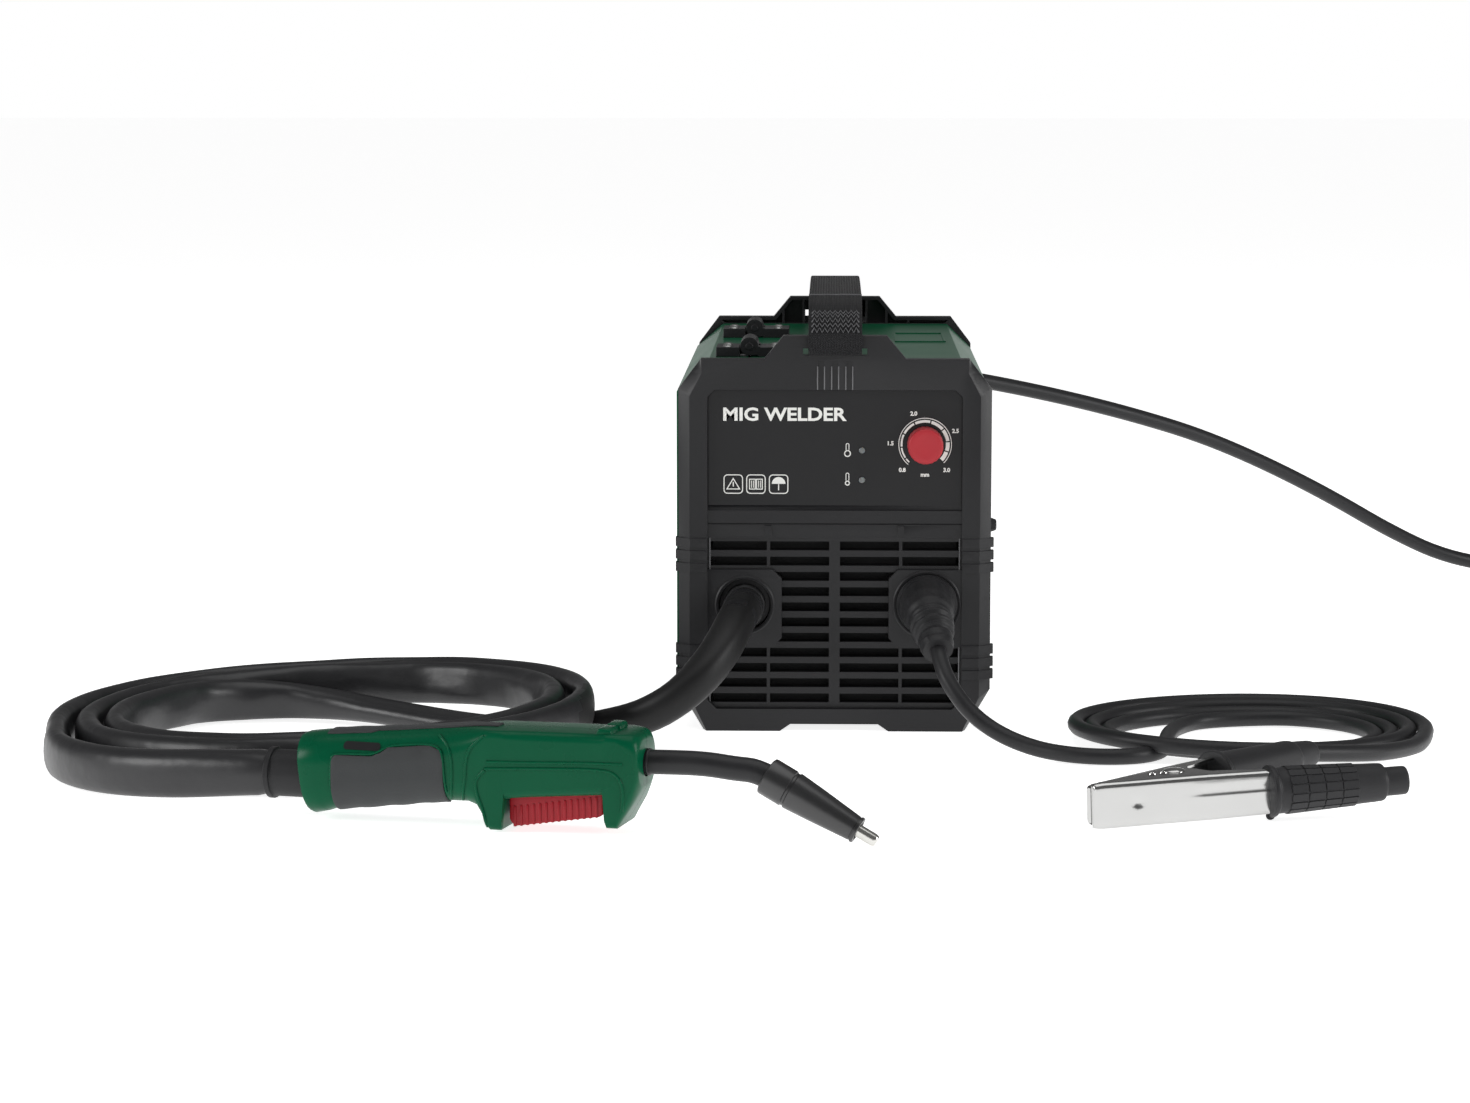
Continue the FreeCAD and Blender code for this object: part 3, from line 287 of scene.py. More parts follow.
def finish(key):
    """The material of one finish, made the first time that it is asked for."""
    looks = bpy.context.scene.welder_colours
    makers = {
        "black_abs": lambda: textured_abs("ABS black textured moulding", looks.housing),
        # Light grey ridge finish: a painted highlight on the lit edges of the moulded ribs
        "painted_highlight_abs": lambda: textured_abs("ABS black ridge painted highlight", "6a6a6c", 0.35),
        "black_nylon": lambda: textured_abs("Nylon black moulding", "1b1b1d", 0.42),
        "green_coat": lambda: coated_steel("Powder coated sheet steel green", looks.cover),
        "black_coat": lambda: coated_steel("Powder coated sheet steel black", "1c1c1e", 0.45),
        "film": lambda: smooth_plastic("Polyester overlay film black", looks.label, 0.4, 1.55),
        "ink": lambda: printed_ink("Screen print ink white", "e6e6e2"),
        "dim_ink": lambda: printed_ink("Embossed legend grey", "3a3a3c"),
        "knob": lambda: smooth_plastic("ABS red satin moulding", looks.knob, 0.42),
        "lens": lambda: lens_plastic("Polycarbonate lens grey"),
        "webbing": lambda: woven_polypropylene("Polypropylene webbing black", "161618"),
        "thread": lambda: soft_rubber("Polyester sewing thread black", "58585a", 0.6, 0.5, 0.05),
        "boot": lambda: soft_rubber("EPDM rubber moulded black", "1b1b1d", 0.5),
        "grip": lambda: soft_rubber("TPE grip overmould grey black", looks.grip, 0.6, 0.9, 0.06),
        "clamp_grip": lambda: soft_rubber("PVC dipped grip black", "222224", 0.5, 1.0, 0.05),
        "torch_green": lambda: smooth_plastic("Nylon green satin moulding", looks.torch, 0.28, 1.3),
        "trigger": lambda: smooth_plastic("ABS red gloss moulding", looks.trigger, 0.34),
        "hose": lambda: hose_sheath("PVC sleeve black lay flat", looks.hose),
        "cable": lambda: soft_rubber("Neoprene cable sheath black", looks.cable, 0.46, 2.0, 0.05),
        "neck": lambda: soft_rubber("Shrink sleeve black on steel tube", "1e1e20", 0.42, 3.0, 0.05),
        "lead": lambda: soft_rubber("Rubber tube dark", "0c0c0d", 0.5, 2.0, 0.03),
        "nozzle": lambda: smooth_plastic("Phenolic black turned nozzle", "202021", 0.32, 1.95),
        "nickel": lambda: nickel_plate("Nickel plated pressed steel"),
        "tip": lambda: bare_metal("Plated copper contact tip", "c9c8c4", 0.22),
        "zinc": lambda: bare_metal("Zinc plated steel", "a9aaa8", 0.35),
        "spring": lambda: wound_wire("Spring steel wire close wound", "8b8b8a", 1.4, "Z"),
        "aluminium": lambda: bare_metal("Extruded aluminium", "b8b9ba", 0.38, (1, 0.05, 1), 0.8),
        "iron": lambda: laminated_iron("Laminated silicon iron"),
        "board": lambda: smooth_plastic("Glass epoxy circuit board green", "1d5a35", 0.35),
        "weld_wire": lambda: wound_wire("Flux core wire close wound", "9c9388", 1.6, "X"),
        "spool": lambda: smooth_plastic("Polystyrene spool black", "1f1f21", 0.3),
        "white_nylon": lambda: smooth_plastic("Nylon natural white", "cfcdc4", 0.4),
        "brass": lambda: bare_metal("Nickel plated brass pins", "c8c2a8", 0.25),
        # Near-black finish standing for painted shade in unlit hollows
        "dark": lambda: soft_rubber("Unlit hollow painted shade black", "0c0c0d", 0.8, 2.0, 0.02),
        "floor": lambda: plain_floor("Painted studio floor pale", "f4f4f4"),
    }
    if key not in PALETTE:
        PALETTE[key] = makers[key]()
    return PALETTE[key]


# ---- Mesh helpers ----
def absorb(bm, shape):
    """Add one bmesh to another and free it."""
    mesh = bpy.data.meshes.new("part")
    shape.to_mesh(mesh)
    shape.free()
    bm.from_mesh(mesh)
    bpy.data.meshes.remove(mesh)


def place_along(at, axis):
    """Matrix that puts local Z along axis, at a point."""
    turn = Vector(axis).to_track_quat("Z", "Y").to_matrix().to_4x4()
    return Matrix.Translation(Vector(at)) @ turn


def add_box(bm, low, high):
    low, high = Vector(low), Vector(high)
    size = high - low
    matrix = Matrix.Translation((low + high) / 2) @ Matrix.Diagonal((*size, 1.0))
    return bmesh.ops.create_cube(bm, size=1.0, matrix=matrix)["verts"]


def add_rod(bm, r0, r1, start, end, segments=32):
    start, end = Vector(start), Vector(end)
    matrix = place_along((start + end) / 2, end - start)
    made = bmesh.ops.create_cone(bm, cap_ends=True, segments=segments, radius1=r0, radius2=r1,
                                 depth=(end - start).length, matrix=matrix)
    return made["verts"]


def add_lathe(bm, profile, at, axis, segments=48):
    """Turned shape: profile is (radius, distance along the axis) from one end to the other."""
    shape = bmesh.new()
    verts = [shape.verts.new((radius, 0, along)) for radius, along in profile]
    edges = [shape.edges.new(pair) for pair in zip(verts, verts[1:])]
    bmesh.ops.spin(shape, geom=verts + edges, cent=(0, 0, 0), axis=(0, 0, 1), angle=TAU,
                   steps=segments, use_merge=True, use_duplicate=False)
    bmesh.ops.remove_doubles(shape, verts=shape.verts, dist=1e-7)
    bmesh.ops.transform(shape, matrix=place_along(at, axis), verts=shape.verts)
    absorb(bm, shape)


def sharp_edges(bm, degrees):
    limit = math.radians(degrees)
    return [e for e in bm.edges if len(e.link_faces) == 2 and e.calc_face_angle(0.0) > limit]


def soften(bm, width, degrees=30, segments=2):
    """Round the edges that turn by more than an angle."""
    bmesh.ops.bevel(bm, geom=sharp_edges(bm, degrees), offset=width, offset_type="OFFSET",
                    affect="EDGES", segments=segments, profile=0.5, material=-1,
                    clamp_overlap=True)


def new_object(name, data):
    obj = bpy.data.objects.new(name, data)
    bpy.context.scene.collection.objects.link(obj)
    return obj


def piece(name, bm, key, body, replaces=(), crease=35, recalc=True):
    """Turn a bmesh into a shown piece that rides on a body."""
    if recalc:
        bmesh.ops.recalc_face_normals(bm, faces=bm.faces)
    mesh = bpy.data.meshes.new(name)
    bm.to_mesh(mesh)
    bm.free()
    mesh.materials.append(finish(key))
    mesh.shade_smooth()
    mesh.set_sharp_from_angle(angle=math.radians(crease))
    return rig(new_object(name, mesh), body, replaces)


def rig(obj, body, replaces=()):
    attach(obj, body)
    if replaces:
        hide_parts(*replaces)
    return obj


def body_of(node):
    return NODES[node]["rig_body"]


def repaint(node, key):
    """Give a CAD node its finish; its mesh stays as it is."""
    obj = NODES[node]
    for place in obj.material_slots:
        place.material = finish(key)


def soft_copy(node, key, width_mm, segments=2):
    """A merged copy of a CAD node with rounded edges stands for it."""
    bm = bmesh.new()
    bm.from_mesh(NODES[node].data)
    bmesh.ops.remove_doubles(bm, verts=bm.verts, dist=2e-6)
    bmesh.ops.dissolve_limit(bm, angle_limit=math.radians(0.6), verts=bm.verts, edges=bm.edges,
                             use_dissolve_boundaries=False)
    obj = piece(node + "_finished", bm, key, body_of(node), (node,),
                recalc=False)
    bevel = obj.modifiers.new("rounded edges", "BEVEL")
    bevel.width = width_mm * MM
    bevel.segments = segments
    bevel.limit_method = "ANGLE"
    bevel.angle_limit = math.radians(32)
    bevel.use_clamp_overlap = True
    bevel.harden_normals = True
    return obj


def arc_points(cx, cy, radius, start, end, steps):
    """Points of an arc in degrees, both ends included."""
    angles = [math.radians(start + (end - start) * i / steps) for i in range(steps + 1)]
    return [(cx + radius * math.cos(a), cy + radius * math.sin(a)) for a in angles]


def smoothstep(x):
    x = min(1.0, max(0.0, x))
    return x * x * (3 - 2 * x)


def blend_rows(rows, s):
    """Value row at s from rows that start with their place, eased between neighbours."""
    if s <= rows[0][0]:
        return rows[0][1:]
    for low, high in zip(rows, rows[1:]):
        if s <= high[0]:
            share = smoothstep((s - low[0]) / (high[0] - low[0]))
            return tuple(a + (b - a) * share for a, b in zip(low[1:], high[1:]))
    return rows[-1][1:]


def curve_data(name, points):
    """One open NURBS spline through the pull of these control points."""
    data = bpy.data.curves.new(name, "CURVE")
    data.dimensions = "3D"
    data.resolution_u = 6
    data.render_resolution_u = 6
    spline = data.splines.new("NURBS")
    spline.points.add(len(points) - 1)
    for target, point in zip(spline.points, points):
        target.co = (*point, 1.0)
    spline.order_u = 3
    spline.use_endpoint_u = True
    return data


def line_of(points, step):
    """Evenly spaced points read from the smooth spline of a route."""
    data = curve_data("route", points)
    obj = bpy.data.objects.new("route", data)
    mesh = bpy.data.meshes.new_from_object(obj)
    raw = [v.co.copy() for v in mesh.vertices]
    bpy.data.meshes.remove(mesh)
    bpy.data.objects.remove(obj)
    bpy.data.curves.remove(data)
    raw = [raw[0]] + [b for a, b in zip(raw, raw[1:]) if (b - a).length > 1e-7]
    total = sum((b - a).length for a, b in zip(raw, raw[1:]))
    count = max(2, round(total / step))
    spaced = [raw[0]]
    travelled = 0.0
    target = total / count
    for a, b in zip(raw, raw[1:]):
        span = (b - a).length
        while target <= travelled + span + 1e-9 and len(spaced) < count:
            spaced.append(a.lerp(b, (target - travelled) / span))
            target += total / count
        travelled += span
    spaced.append(raw[-1])
    return spaced, total


def sweep(bm, line, ring_at, up=(0, 0, 1), capped=True):
    """Tube along a line. ring_at(distance, position) gives (side, up) offsets of each corner.

    The UV layer named run holds metres round the tube and metres along it."""
    up = Vector(up)
    layer = bm.loops.layers.uv.get("run") or bm.loops.layers.uv.new("run")
    along = 0.0
    before = None
    first = None
    ring = None
    for i, point in enumerate(line):
        ahead = line[min(i + 1, len(line) - 1)] - line[max(i - 1, 0)]
        tangent = ahead.normalized()
        side = tangent.cross(up).normalized()
        lift = side.cross(tangent).normalized()
        if i:
            along += (point - line[i - 1]).length
        offsets = ring_at(along, point)
        spots = [point + side * a + lift * b for a, b in offsets]
        if ring is None:
            made = bmesh.ops.create_circle(bm, cap_ends=False, radius=1.0, segments=len(spots))
            ring = made["verts"]
            first = ring
        else:
            loop = [bm.edges.get((a, b)) for a, b in zip(ring, ring[1:] + ring[:1])]
            grown = bmesh.ops.extrude_edge_only(bm, edges=loop)
            fresh = {v for v in grown["geom"] if isinstance(v, bmesh.types.BMVert)}
            ring = [next(e.other_vert(v) for e in v.link_edges if e.other_vert(v) in fresh)
                    for v in ring]
            round_at = 0.0
            for k, (a, b) in enumerate(zip(before, before[1:] + before[:1])):
                step = (spots[(k + 1) % len(spots)] - spots[k]).length
                face = next(f for f in bm.edges.get((ring[k], ring[(k + 1) % len(ring)])).link_faces)
                for loop_corner in face.loops:
                    vert = loop_corner.vert
                    far = vert in (ring[k], ring[(k + 1) % len(ring)])
                    right = vert in (b, ring[(k + 1) % len(ring)])
                    loop_corner[layer].uv = (round_at + (step if right else 0.0),
                                             along if far else along - (point - line[i - 1]).length)
                round_at += step
        for vert, spot in zip(ring, spots):
            vert.co = spot
        before = ring
    if capped:
        for end in (first, ring):
            bm.faces.new(end)
    return first, ring


def round_ring(radius, corners=16):
    return [(radius * math.cos(TAU * i / corners), radius * math.sin(TAU * i / corners))
            for i in range(corners)]


def oval_ring(half_side, half_up, corners=20, squareness=2.5):
    """Flattened round: a squareness of 2 is an ellipse, and more is boxier."""
    ring = []
    for i in range(corners):
        c = math.cos(TAU * i / corners)
        s = math.sin(TAU * i / corners)
        ring.append((math.copysign(abs(c) ** (2 / squareness), c) * half_side,
                     math.copysign(abs(s) ** (2 / squareness), s) * half_up))
    return ring


def oval_turns(centre, start, end, radii_at, height_at, per_turn=24):
    """Points of a flat coil from one angle to another in degrees; radii_at and height_at take
    the share of the way."""
    steps = max(2, round(abs(end - start) / 360 * per_turn))
    pull = 1 / math.cos(math.pi / per_turn)
    points = []
    for i in range(steps + 1):
        share = i / steps
        angle = math.radians(start + (end - start) * share)
        rx, ry = radii_at(share)
        points.append((centre[0] + rx * pull * math.cos(angle),
                       centre[1] + ry * pull * math.sin(angle), height_at(share, angle)))
    return points


def tilted(local, at, turn):
    """Local point of the torch or the clamp in the frame."""
    return at + turn @ Vector(local)


# ---- Cord routes: the points of the design's own routes ----
EARTH_R = 0.0045
MAINS_R = 0.005
TORCH_YAW = math.radians(-14.0)
TORCH_AT = Vector((-0.252, -0.432, 0.0))
TORCH_TURN = Matrix.Rotation(TORCH_YAW, 3, "Z")
CLAMP_YAW = math.radians(14.0)
CLAMP_AT = Vector((0.168, -0.431, 0.0135))
CLAMP_TURN = Matrix.Rotation(CLAMP_YAW, 3, "Z") @ Matrix.Rotation(math.radians(-2.2), 3, "Y")
SLEEVE_END = tilted((-0.029, 0, 0.0212), TORCH_AT, TORCH_TURN)

HOSE_LEAD = [(-0.050, -0.184, 0.071), (-0.054, -0.209, 0.067), (-0.060, -0.231, 0.056),
             (-0.071, -0.245, 0.042), (-0.086, -0.249, 0.0285), (-0.105, -0.244, 0.0175),
             (-0.129, -0.233, 0.012)]
HOSE_CROSSING = [(-0.159, -0.224, 0.0075), (-0.190, -0.214, 0.0070), (-0.219, -0.196, 0.0075),
                 (-0.249, -0.176, 0.0090), (-0.283, -0.160, 0.0110), (-0.320, -0.153, 0.0125),
                 (-0.350, -0.165, 0.0135)]
HOSE_TAIL = [(-0.412, -0.300, 0.0128), (-0.408, -0.330, 0.0130), (-0.393, -0.361, 0.0135),
             (-0.368, -0.388, 0.0145), (-0.338, -0.406, 0.0165), (-0.311, -0.4165, 0.0190)]
HOSE_COIL_AT = (-0.273, -0.255)
HOSE_COIL_LEFT = -0.423
HOSE_SLOPE = math.tan(math.radians(2.4))

EARTH_LEAD = [(0.056, -0.222, 0.055), (0.0585, -0.235, 0.0445), (0.0645, -0.243, 0.0335),
              (0.074, -0.249, 0.022), (0.088, -0.256, 0.0125), (0.106, -0.266, 0.0065),
              (0.124, -0.277, 0.0049), (0.144, -0.284, 0.0049)]
EARTH_CROSSING = [(0.1645, -0.2795, 0.0049), (0.177, -0.262, 0.0049), (0.180, -0.238, 0.0049),
                  (0.184, -0.211, 0.0049), (0.192, -0.186, 0.0049), (0.207, -0.167, 0.0049)]
EARTH_TAIL = [(0.320, -0.240, 0.0095), (0.313, -0.266, 0.0090), (0.298, -0.291, 0.0105),
              (0.279, -0.315, 0.0130)]
EARTH_COIL_AT = (0.226, -0.211)

MAINS_LEAD = [(0.058, 0.202, 0.168), (0.062, 0.238, 0.167), (0.083, 0.266, 0.162),
              (0.119, 0.286, 0.154), (0.160, 0.303, 0.144), (0.205, 0.325, 0.131),
              (0.252, 0.350, 0.115), (0.300, 0.378, 0.093), (0.350, 0.410, 0.066),
              (0.396, 0.441, 0.038), (0.440, 0.467, 0.016), (0.488, 0.482, 0.0064),
              (0.520, 0.4875, 0.0060)]
MAINS_COIL_AT = (0.555, 0.430)
MAINS_EXIT = [(0.609, 0.412, 0.0150), (0.608, 0.400, 0.0155), (0.607, 0.378, 0.0175),
              (0.607, 0.356, 0.0188)]


def hose_coil_turns():
    """Two and a bit turns from the crossing's end, growing outwards, each on its own place."""
    start, end = 150.0, 905.0

    def radii(share):
        rx = 0.1125 + 0.0325 * share
        return rx, rx - 0.004

    def height(share, angle):
        rx = radii(share)[0]
        x = HOSE_COIL_AT[0] + rx * math.cos(angle)
        lift = 0.0128 + (x - HOSE_COIL_LEFT) * HOSE_SLOPE
        return lift + 0.0006 * math.sin(3 * angle)

    return oval_turns(HOSE_COIL_AT, start, end, radii, height)


def earth_coil_turns():
    """Three turns, clockwise from above, side by side from the inside out."""
    start, end = 72.0, -1083.0

    def radii(share):
        rx = 0.0690 + 0.0285 * share
        return rx, rx - 0.0145

    def height(share, angle):
        return 0.0049 + 0.0048 * smoothstep(share * 1.3 - 0.15) + 0.0006 * math.sin(2 * angle)

    return oval_turns(EARTH_COIL_AT, start, end, radii, height)


def mains_coil_turns():
    """Two layers of two turns: outside then inside below, inside then outside on top."""
    start, end = 98.0, -1446.0
    rows = [(0.0, 0.0565, 0.0053), (0.20, 0.0565, 0.0053), (0.27, 0.0452, 0.0053),
            (0.46, 0.0452, 0.0053), (0.53, 0.0452, 0.0157), (0.70, 0.0452, 0.0157),
            (0.77, 0.0568, 0.0157), (1.0, 0.0568, 0.0157)]

    def radii(share):
        r = blend_rows(rows, share)[0]
        return r, r

    def height(share, angle):
        return blend_rows(rows, share)[1]

    return oval_turns(MAINS_COIL_AT, start, end, radii, height)


def cord_curve(name, points, radius, key, nodes):
    """Plain round cord on one smooth spline."""
    data = curve_data(name, points)
    data.bevel_depth = radius
    data.bevel_resolution = 4
    data.use_fill_caps = True
    data.materials.append(finish(key))
    return rig(new_object(name, data), "machine", nodes)


# ---- Settings that a user would change ----
class WelderColours(bpy.types.PropertyGroup):
    """Colours of the main finishes, as sRGB hex values."""
    housing: bpy.props.StringProperty(name="Housing", description="Front and rear panels",
                                      default="1c1c1e")
    cover: bpy.props.StringProperty(name="Covers", description="Sheet steel covers",
                                    default="0f5236")
    label: bpy.props.StringProperty(name="Overlay", description="Control panel overlay film",
                                    default="151517")
    knob: bpy.props.StringProperty(name="Knob", description="Wire speed knob", default="aa2c34")
    torch: bpy.props.StringProperty(name="Torch", description="Torch handle shells",
                                    default="004f33")
    trigger: bpy.props.StringProperty(name="Trigger", description="Torch trigger",
                                      default="971420")
    grip: bpy.props.StringProperty(name="Grip", description="Soft pads of the torch",
                                   default="333536")
    hose: bpy.props.StringProperty(name="Hose", description="Sleeve of the torch hose",
                                   default="1f1f21")
    cable: bpy.props.StringProperty(name="Cables", description="Earth cable and mains cord",
                                    default="1c1c1e")


class WelderSizes(bpy.types.PropertyGroup):
    """Sizes of the soft and trimmed pieces."""
    hose_length: bpy.props.FloatProperty(name="Hose length", description="Torch hose, whole",
                                         default=2.33, unit="LENGTH")
    earth_length: bpy.props.FloatProperty(name="Earth cable length", default=2.0,
                                          description="Earth cable, plug to clamp",
                                          unit="LENGTH")
    mains_length: bpy.props.FloatProperty(name="Mains cord length", default=2.05,
                                          description="Mains cord, gland to plug",
                                          unit="LENGTH")
    strap_width: bpy.props.FloatProperty(name="Strap width", description="Carry strap webbing",
                                         default=0.0296, unit="LENGTH")
    floor_size: bpy.props.FloatProperty(name="Floor size", description="Side of the studio floor",
                                        default=40.0, unit="LENGTH")
    light_power: bpy.props.FloatProperty(name="Key light", description="Power of the top light",
                                         default=20.0, unit="POWER")


# ---- Stage and camera ----
class WELDER_OT_stage(bpy.types.Operator):
    """Camera, pale floor and soft studio lights"""
    bl_idname = "welder.stage"
    bl_label = "Stage"

    def execute(self, context):
        sizes = context.scene.welder_sizes
        camera = new_object("camera", bpy.data.cameras.new("camera"))
        camera.location = (-0.0018, -2.3309, 0.377)
        camera.rotation_euler = (math.pi / 2 - 0.1275, 0, 0.0249)
        camera.data.lens = 95.5
        camera.data.sensor_width = 36.0
        camera.data.clip_end = 100.0
        context.scene.camera = camera
        bm = bmesh.new()
        bmesh.ops.create_grid(bm, x_segments=1, y_segments=1, size=sizes.floor_size / 2)
        mesh = bpy.data.meshes.new("floor")
        bm.to_mesh(mesh)
        bm.free()
        mesh.materials.append(finish("floor"))
        new_object("floor", mesh)
        self.add_light("top softbox", (0.1, -0.4, 2.2), (0, -0.1, 0), 2.2, sizes.light_power)
        self.add_light("left softbox", (-2.4, -1.1, 1.0), (0, -0.1, 0.1), 0.9, 27)
        self.add_light("right softbox", (2.4, -0.9, 0.9), (0, -0.1, 0.1), 0.9, 27)
        world = bpy.data.worlds.new("studio")
        world.use_nodes = True
        tree = world.node_tree
        ways = add_node(tree, "ShaderNodeTexCoord").outputs["Generated"]
        parts = add_node(tree, "ShaderNodeSeparateXYZ", {"Vector": ways})
        wall = add_node(tree, "ShaderNodeMapRange", {"Value": parts.outputs["Z"], "From Min": 0.02,
                        "From Max": 0.11, "To Min": 1.0, "To Max": 0.15})
        tree.nodes["Background"].inputs["Color"].default_value = (1, 1, 1, 1)
        tree.links.new(wall.outputs["Result"], tree.nodes["Background"].inputs["Strength"])
        context.scene.world = world
        context.scene.view_settings.view_transform = "Standard"
        return {"FINISHED"}

    def add_light(self, name, at, towards, size, power):
        data = bpy.data.lights.new(name, "AREA")
        data.size = size
        data.energy = power
        light = new_object(name, data)
        light.location = at
        light.rotation_mode = "QUATERNION"
        light.rotation_quaternion = (Vector(towards) - Vector(at)).to_track_quat("-Z", "Y")


# ---- Cords ----
class WELDER_OT_torch_hose(bpy.types.Operator):
    """Torch hose: round at the machine, a flat sleeve on edge in its coil"""
    bl_idname = "welder.torch_hose"
    bl_label = "Torch hose"

    def execute(self, context):
        points = HOSE_LEAD + HOSE_CROSSING + hose_coil_turns() + HOSE_TAIL + [tuple(SLEEVE_END)]
        line, total = line_of(points, 0.006)
        lead_end, coil_start = 0.13, 0.36
        rows = [(0.0, 0.0102, 0.0102), (lead_end - 0.03, 0.0104, 0.0100),
                (lead_end + 0.05, 0.0122, 0.0063), (coil_start - 0.09, 0.0118, 0.0066),
                (coil_start + 0.02, 0.0066, 0.0118), (total - 0.17, 0.0064, 0.0122),
                (total - 0.05, 0.0095, 0.0122), (total - 0.006, 0.0112, 0.0114),
                (total, 0.0104, 0.0104)]

        def ring(along, point):
            half_side, half_up = blend_rows(rows, along)
            inside = smoothstep((along - 0.30) / 0.06) * smoothstep((total - 0.12 - along) / 0.1)
            corners = []
            for a, b in oval_ring(half_side, half_up):
                facing = max(0.0, -a / half_side) if half_side else 0.0
                spot = Vector((along * 34, b * 45, 3.0))
                fold = noise.noise(spot) * 0.0034 + noise.noise(spot * 2.3) * 0.0012
                a -= fold * inside * facing
                b += noise.noise(Vector((along * 22, 9.0, a * 30))) * 0.0005 * inside
                corners.append((a, b))
            return corners

        bm = bmesh.new()
        sweep(bm, line, ring)
        hose = piece("torch_hose_run", bm, "hose", "machine",
                     ("torch_hose", "hose_coil"), crease=80)
        hose.data.materials.append(finish("lead"))
        for face in hose.data.polygons:
            face.material_index = 1 if face.center.x > -0.135 else 0
        bm = bmesh.new()
        hem = line_of(HOSE_LEAD, 0.002)[0]
        sweep(bm, hem[9:13], lambda along, point: round_ring(0.01075, 32))
        sweep(bm, hem[2:4], lambda along, point: round_ring(0.0114, 32))
        collar = piece("hose_collar", bm, "hose", "machine")
        return {"FINISHED"}


class WELDER_OT_earth_cable(bpy.types.Operator):
    """Earth cable from its plug through a loose coil to the clamp"""
    bl_idname = "welder.earth_cable"
    bl_label = "Earth cable"

    def execute(self, context):
        end = clamp_far_point(0.121, -0.0126, 0.0)
        points = EARTH_LEAD + EARTH_CROSSING + earth_coil_turns() + EARTH_TAIL + [tuple(end)]
        cable = cord_curve("earth_cable_run", points, EARTH_R, "cable",
                           ("ground_cable", "ground_coil"))
        return {"FINISHED"}


class WELDER_OT_mains_cord(bpy.types.Operator):
    """Mains cord, wound up behind the machine, out to its plug"""
    bl_idname = "welder.mains_cord"
    bl_label = "Mains cord"

    def execute(self, context):
        points = MAINS_LEAD + mains_coil_turns() + MAINS_EXIT
        cord = cord_curve("mains_cord_run", points, MAINS_R, "cable",
                          ("mains_cord", "mains_coil"))
        return {"FINISHED"}


# ---- Housing ----
FRONT_Y = -0.180
RECESS_Y = -0.1765
LABEL_Y = -0.1771
INK = 0.00008


class WELDER_OT_housing(bpy.types.Operator):
    """End panels, covers, tray, hinges and screws with rounded edges"""
    bl_idname = "welder.housing"
    bl_label = "Housing"

    def execute(self, context):
        for node, key, width in (("front_panel", "black_abs", 0.8), ("rear_panel", "black_abs", 0.8),
                                 ("base_tray", "black_coat", 0.3), ("right_cover", "green_coat", 0.4),
                                 ("spool_door", "green_coat", 0.4), ("door_latch", "black_nylon", 0.5),
                                 ("cover_screws", "black_nylon", 0.8),
                                 ("mains_gland", "black_nylon", 0.4),
                                 ("switch_bezel", "black_nylon", 0.5),
                                 ("switch_rocker", "trigger", 0.4),
                                 ("torch_gland", "boot", 0.6), ("ground_socket", "black_nylon", 0.5),
                                 ("hose_sleeve", "boot", 0.8)):
            soft_copy(node, key, width)
        for place in ("front", "rear"):
            soft_copy("fixed_leaf_" + place, "black_nylon", 0.5)
            soft_copy("door_leaf_" + place, "black_nylon", 0.5)
        return {"FINISHED"}


class WELDER_OT_roof_emboss(bpy.types.Operator):
    """Raised frame pressed into the cover's roof, and the hinge screws"""
    bl_idname = "welder.roof_emboss"
    bl_label = "Roof emboss"

    def execute(self, context):
        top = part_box("right_cover")[1].z
        bm = bmesh.new()
        x0, x1, y0, y1, w = 0.036, 0.0665, 0.010, 0.081, 0.0012
        for low, high in (((x0, y0), (x1, y0 + w)), ((x0, y1 - w), (x1, y1)),
                          ((x0, y0), (x0 + w, y1)), ((x1 - w, y0), (x1, y1))):
            add_box(bm, (*low, top - 0.0004), (*high, top + 0.0006))
        piece("roof_frame", bm, "green_coat", "machine")
        for place, y in (("front", -0.093), ("rear", 0.057)):
            for body, x in (("machine", -0.0345), ("door", -0.0615)):
                bm = bmesh.new()
                face = 0.2095
                for side in (-1, 1):
                    at = (x, y + side * 0.008, face - 0.0002)
                    add_lathe(bm, [(0.0, 0.0014), (0.0014, 0.0013), (0.0026, 0.0008),
                                   (0.0031, 0.0), (0.0, -0.0004)], at, (0, 0, 1), 20)
                piece("hinge_screws_" + place + "_" + body, bm, "zinc", body)
        return {"FINISHED"}


def flat_arc(bm, centre, r0, r1, start, end, y):
    """Printed arc band on the panel face; angles in degrees, clockwise from the top."""
    cx, cz = centre
    first = math.radians(90 - start)
    verts = [bm.verts.new((cx + r * math.cos(first), y, cz + r * math.sin(first)))
             for r in (r0, r1)]
    edge = bm.edges.new(verts)
    steps = max(2, round(abs(end - start) / 6))
    bmesh.ops.spin(bm, geom=verts + [edge], cent=(cx, y, cz), axis=(0, 1, 0),
                   angle=math.radians(end - start), steps=steps, use_merge=False,
                   use_duplicate=False)


def raise_ink(bm, depth=INK):
    """Give flat print its thickness towards the viewer's side."""
    bmesh.ops.recalc_face_normals(bm, faces=bm.faces)
    grown = bmesh.ops.extrude_face_region(bm, geom=bm.faces[:])
    fresh = [v for v in grown["geom"] if isinstance(v, bmesh.types.BMVert)]
    bmesh.ops.translate(bm, vec=(0, -depth, 0), verts=fresh)


def flat_outline(bm, points, y):
    """Filled flat shape from X, Z points."""
    bm.faces.new([bm.verts.new((x, y, z)) for x, z in points])


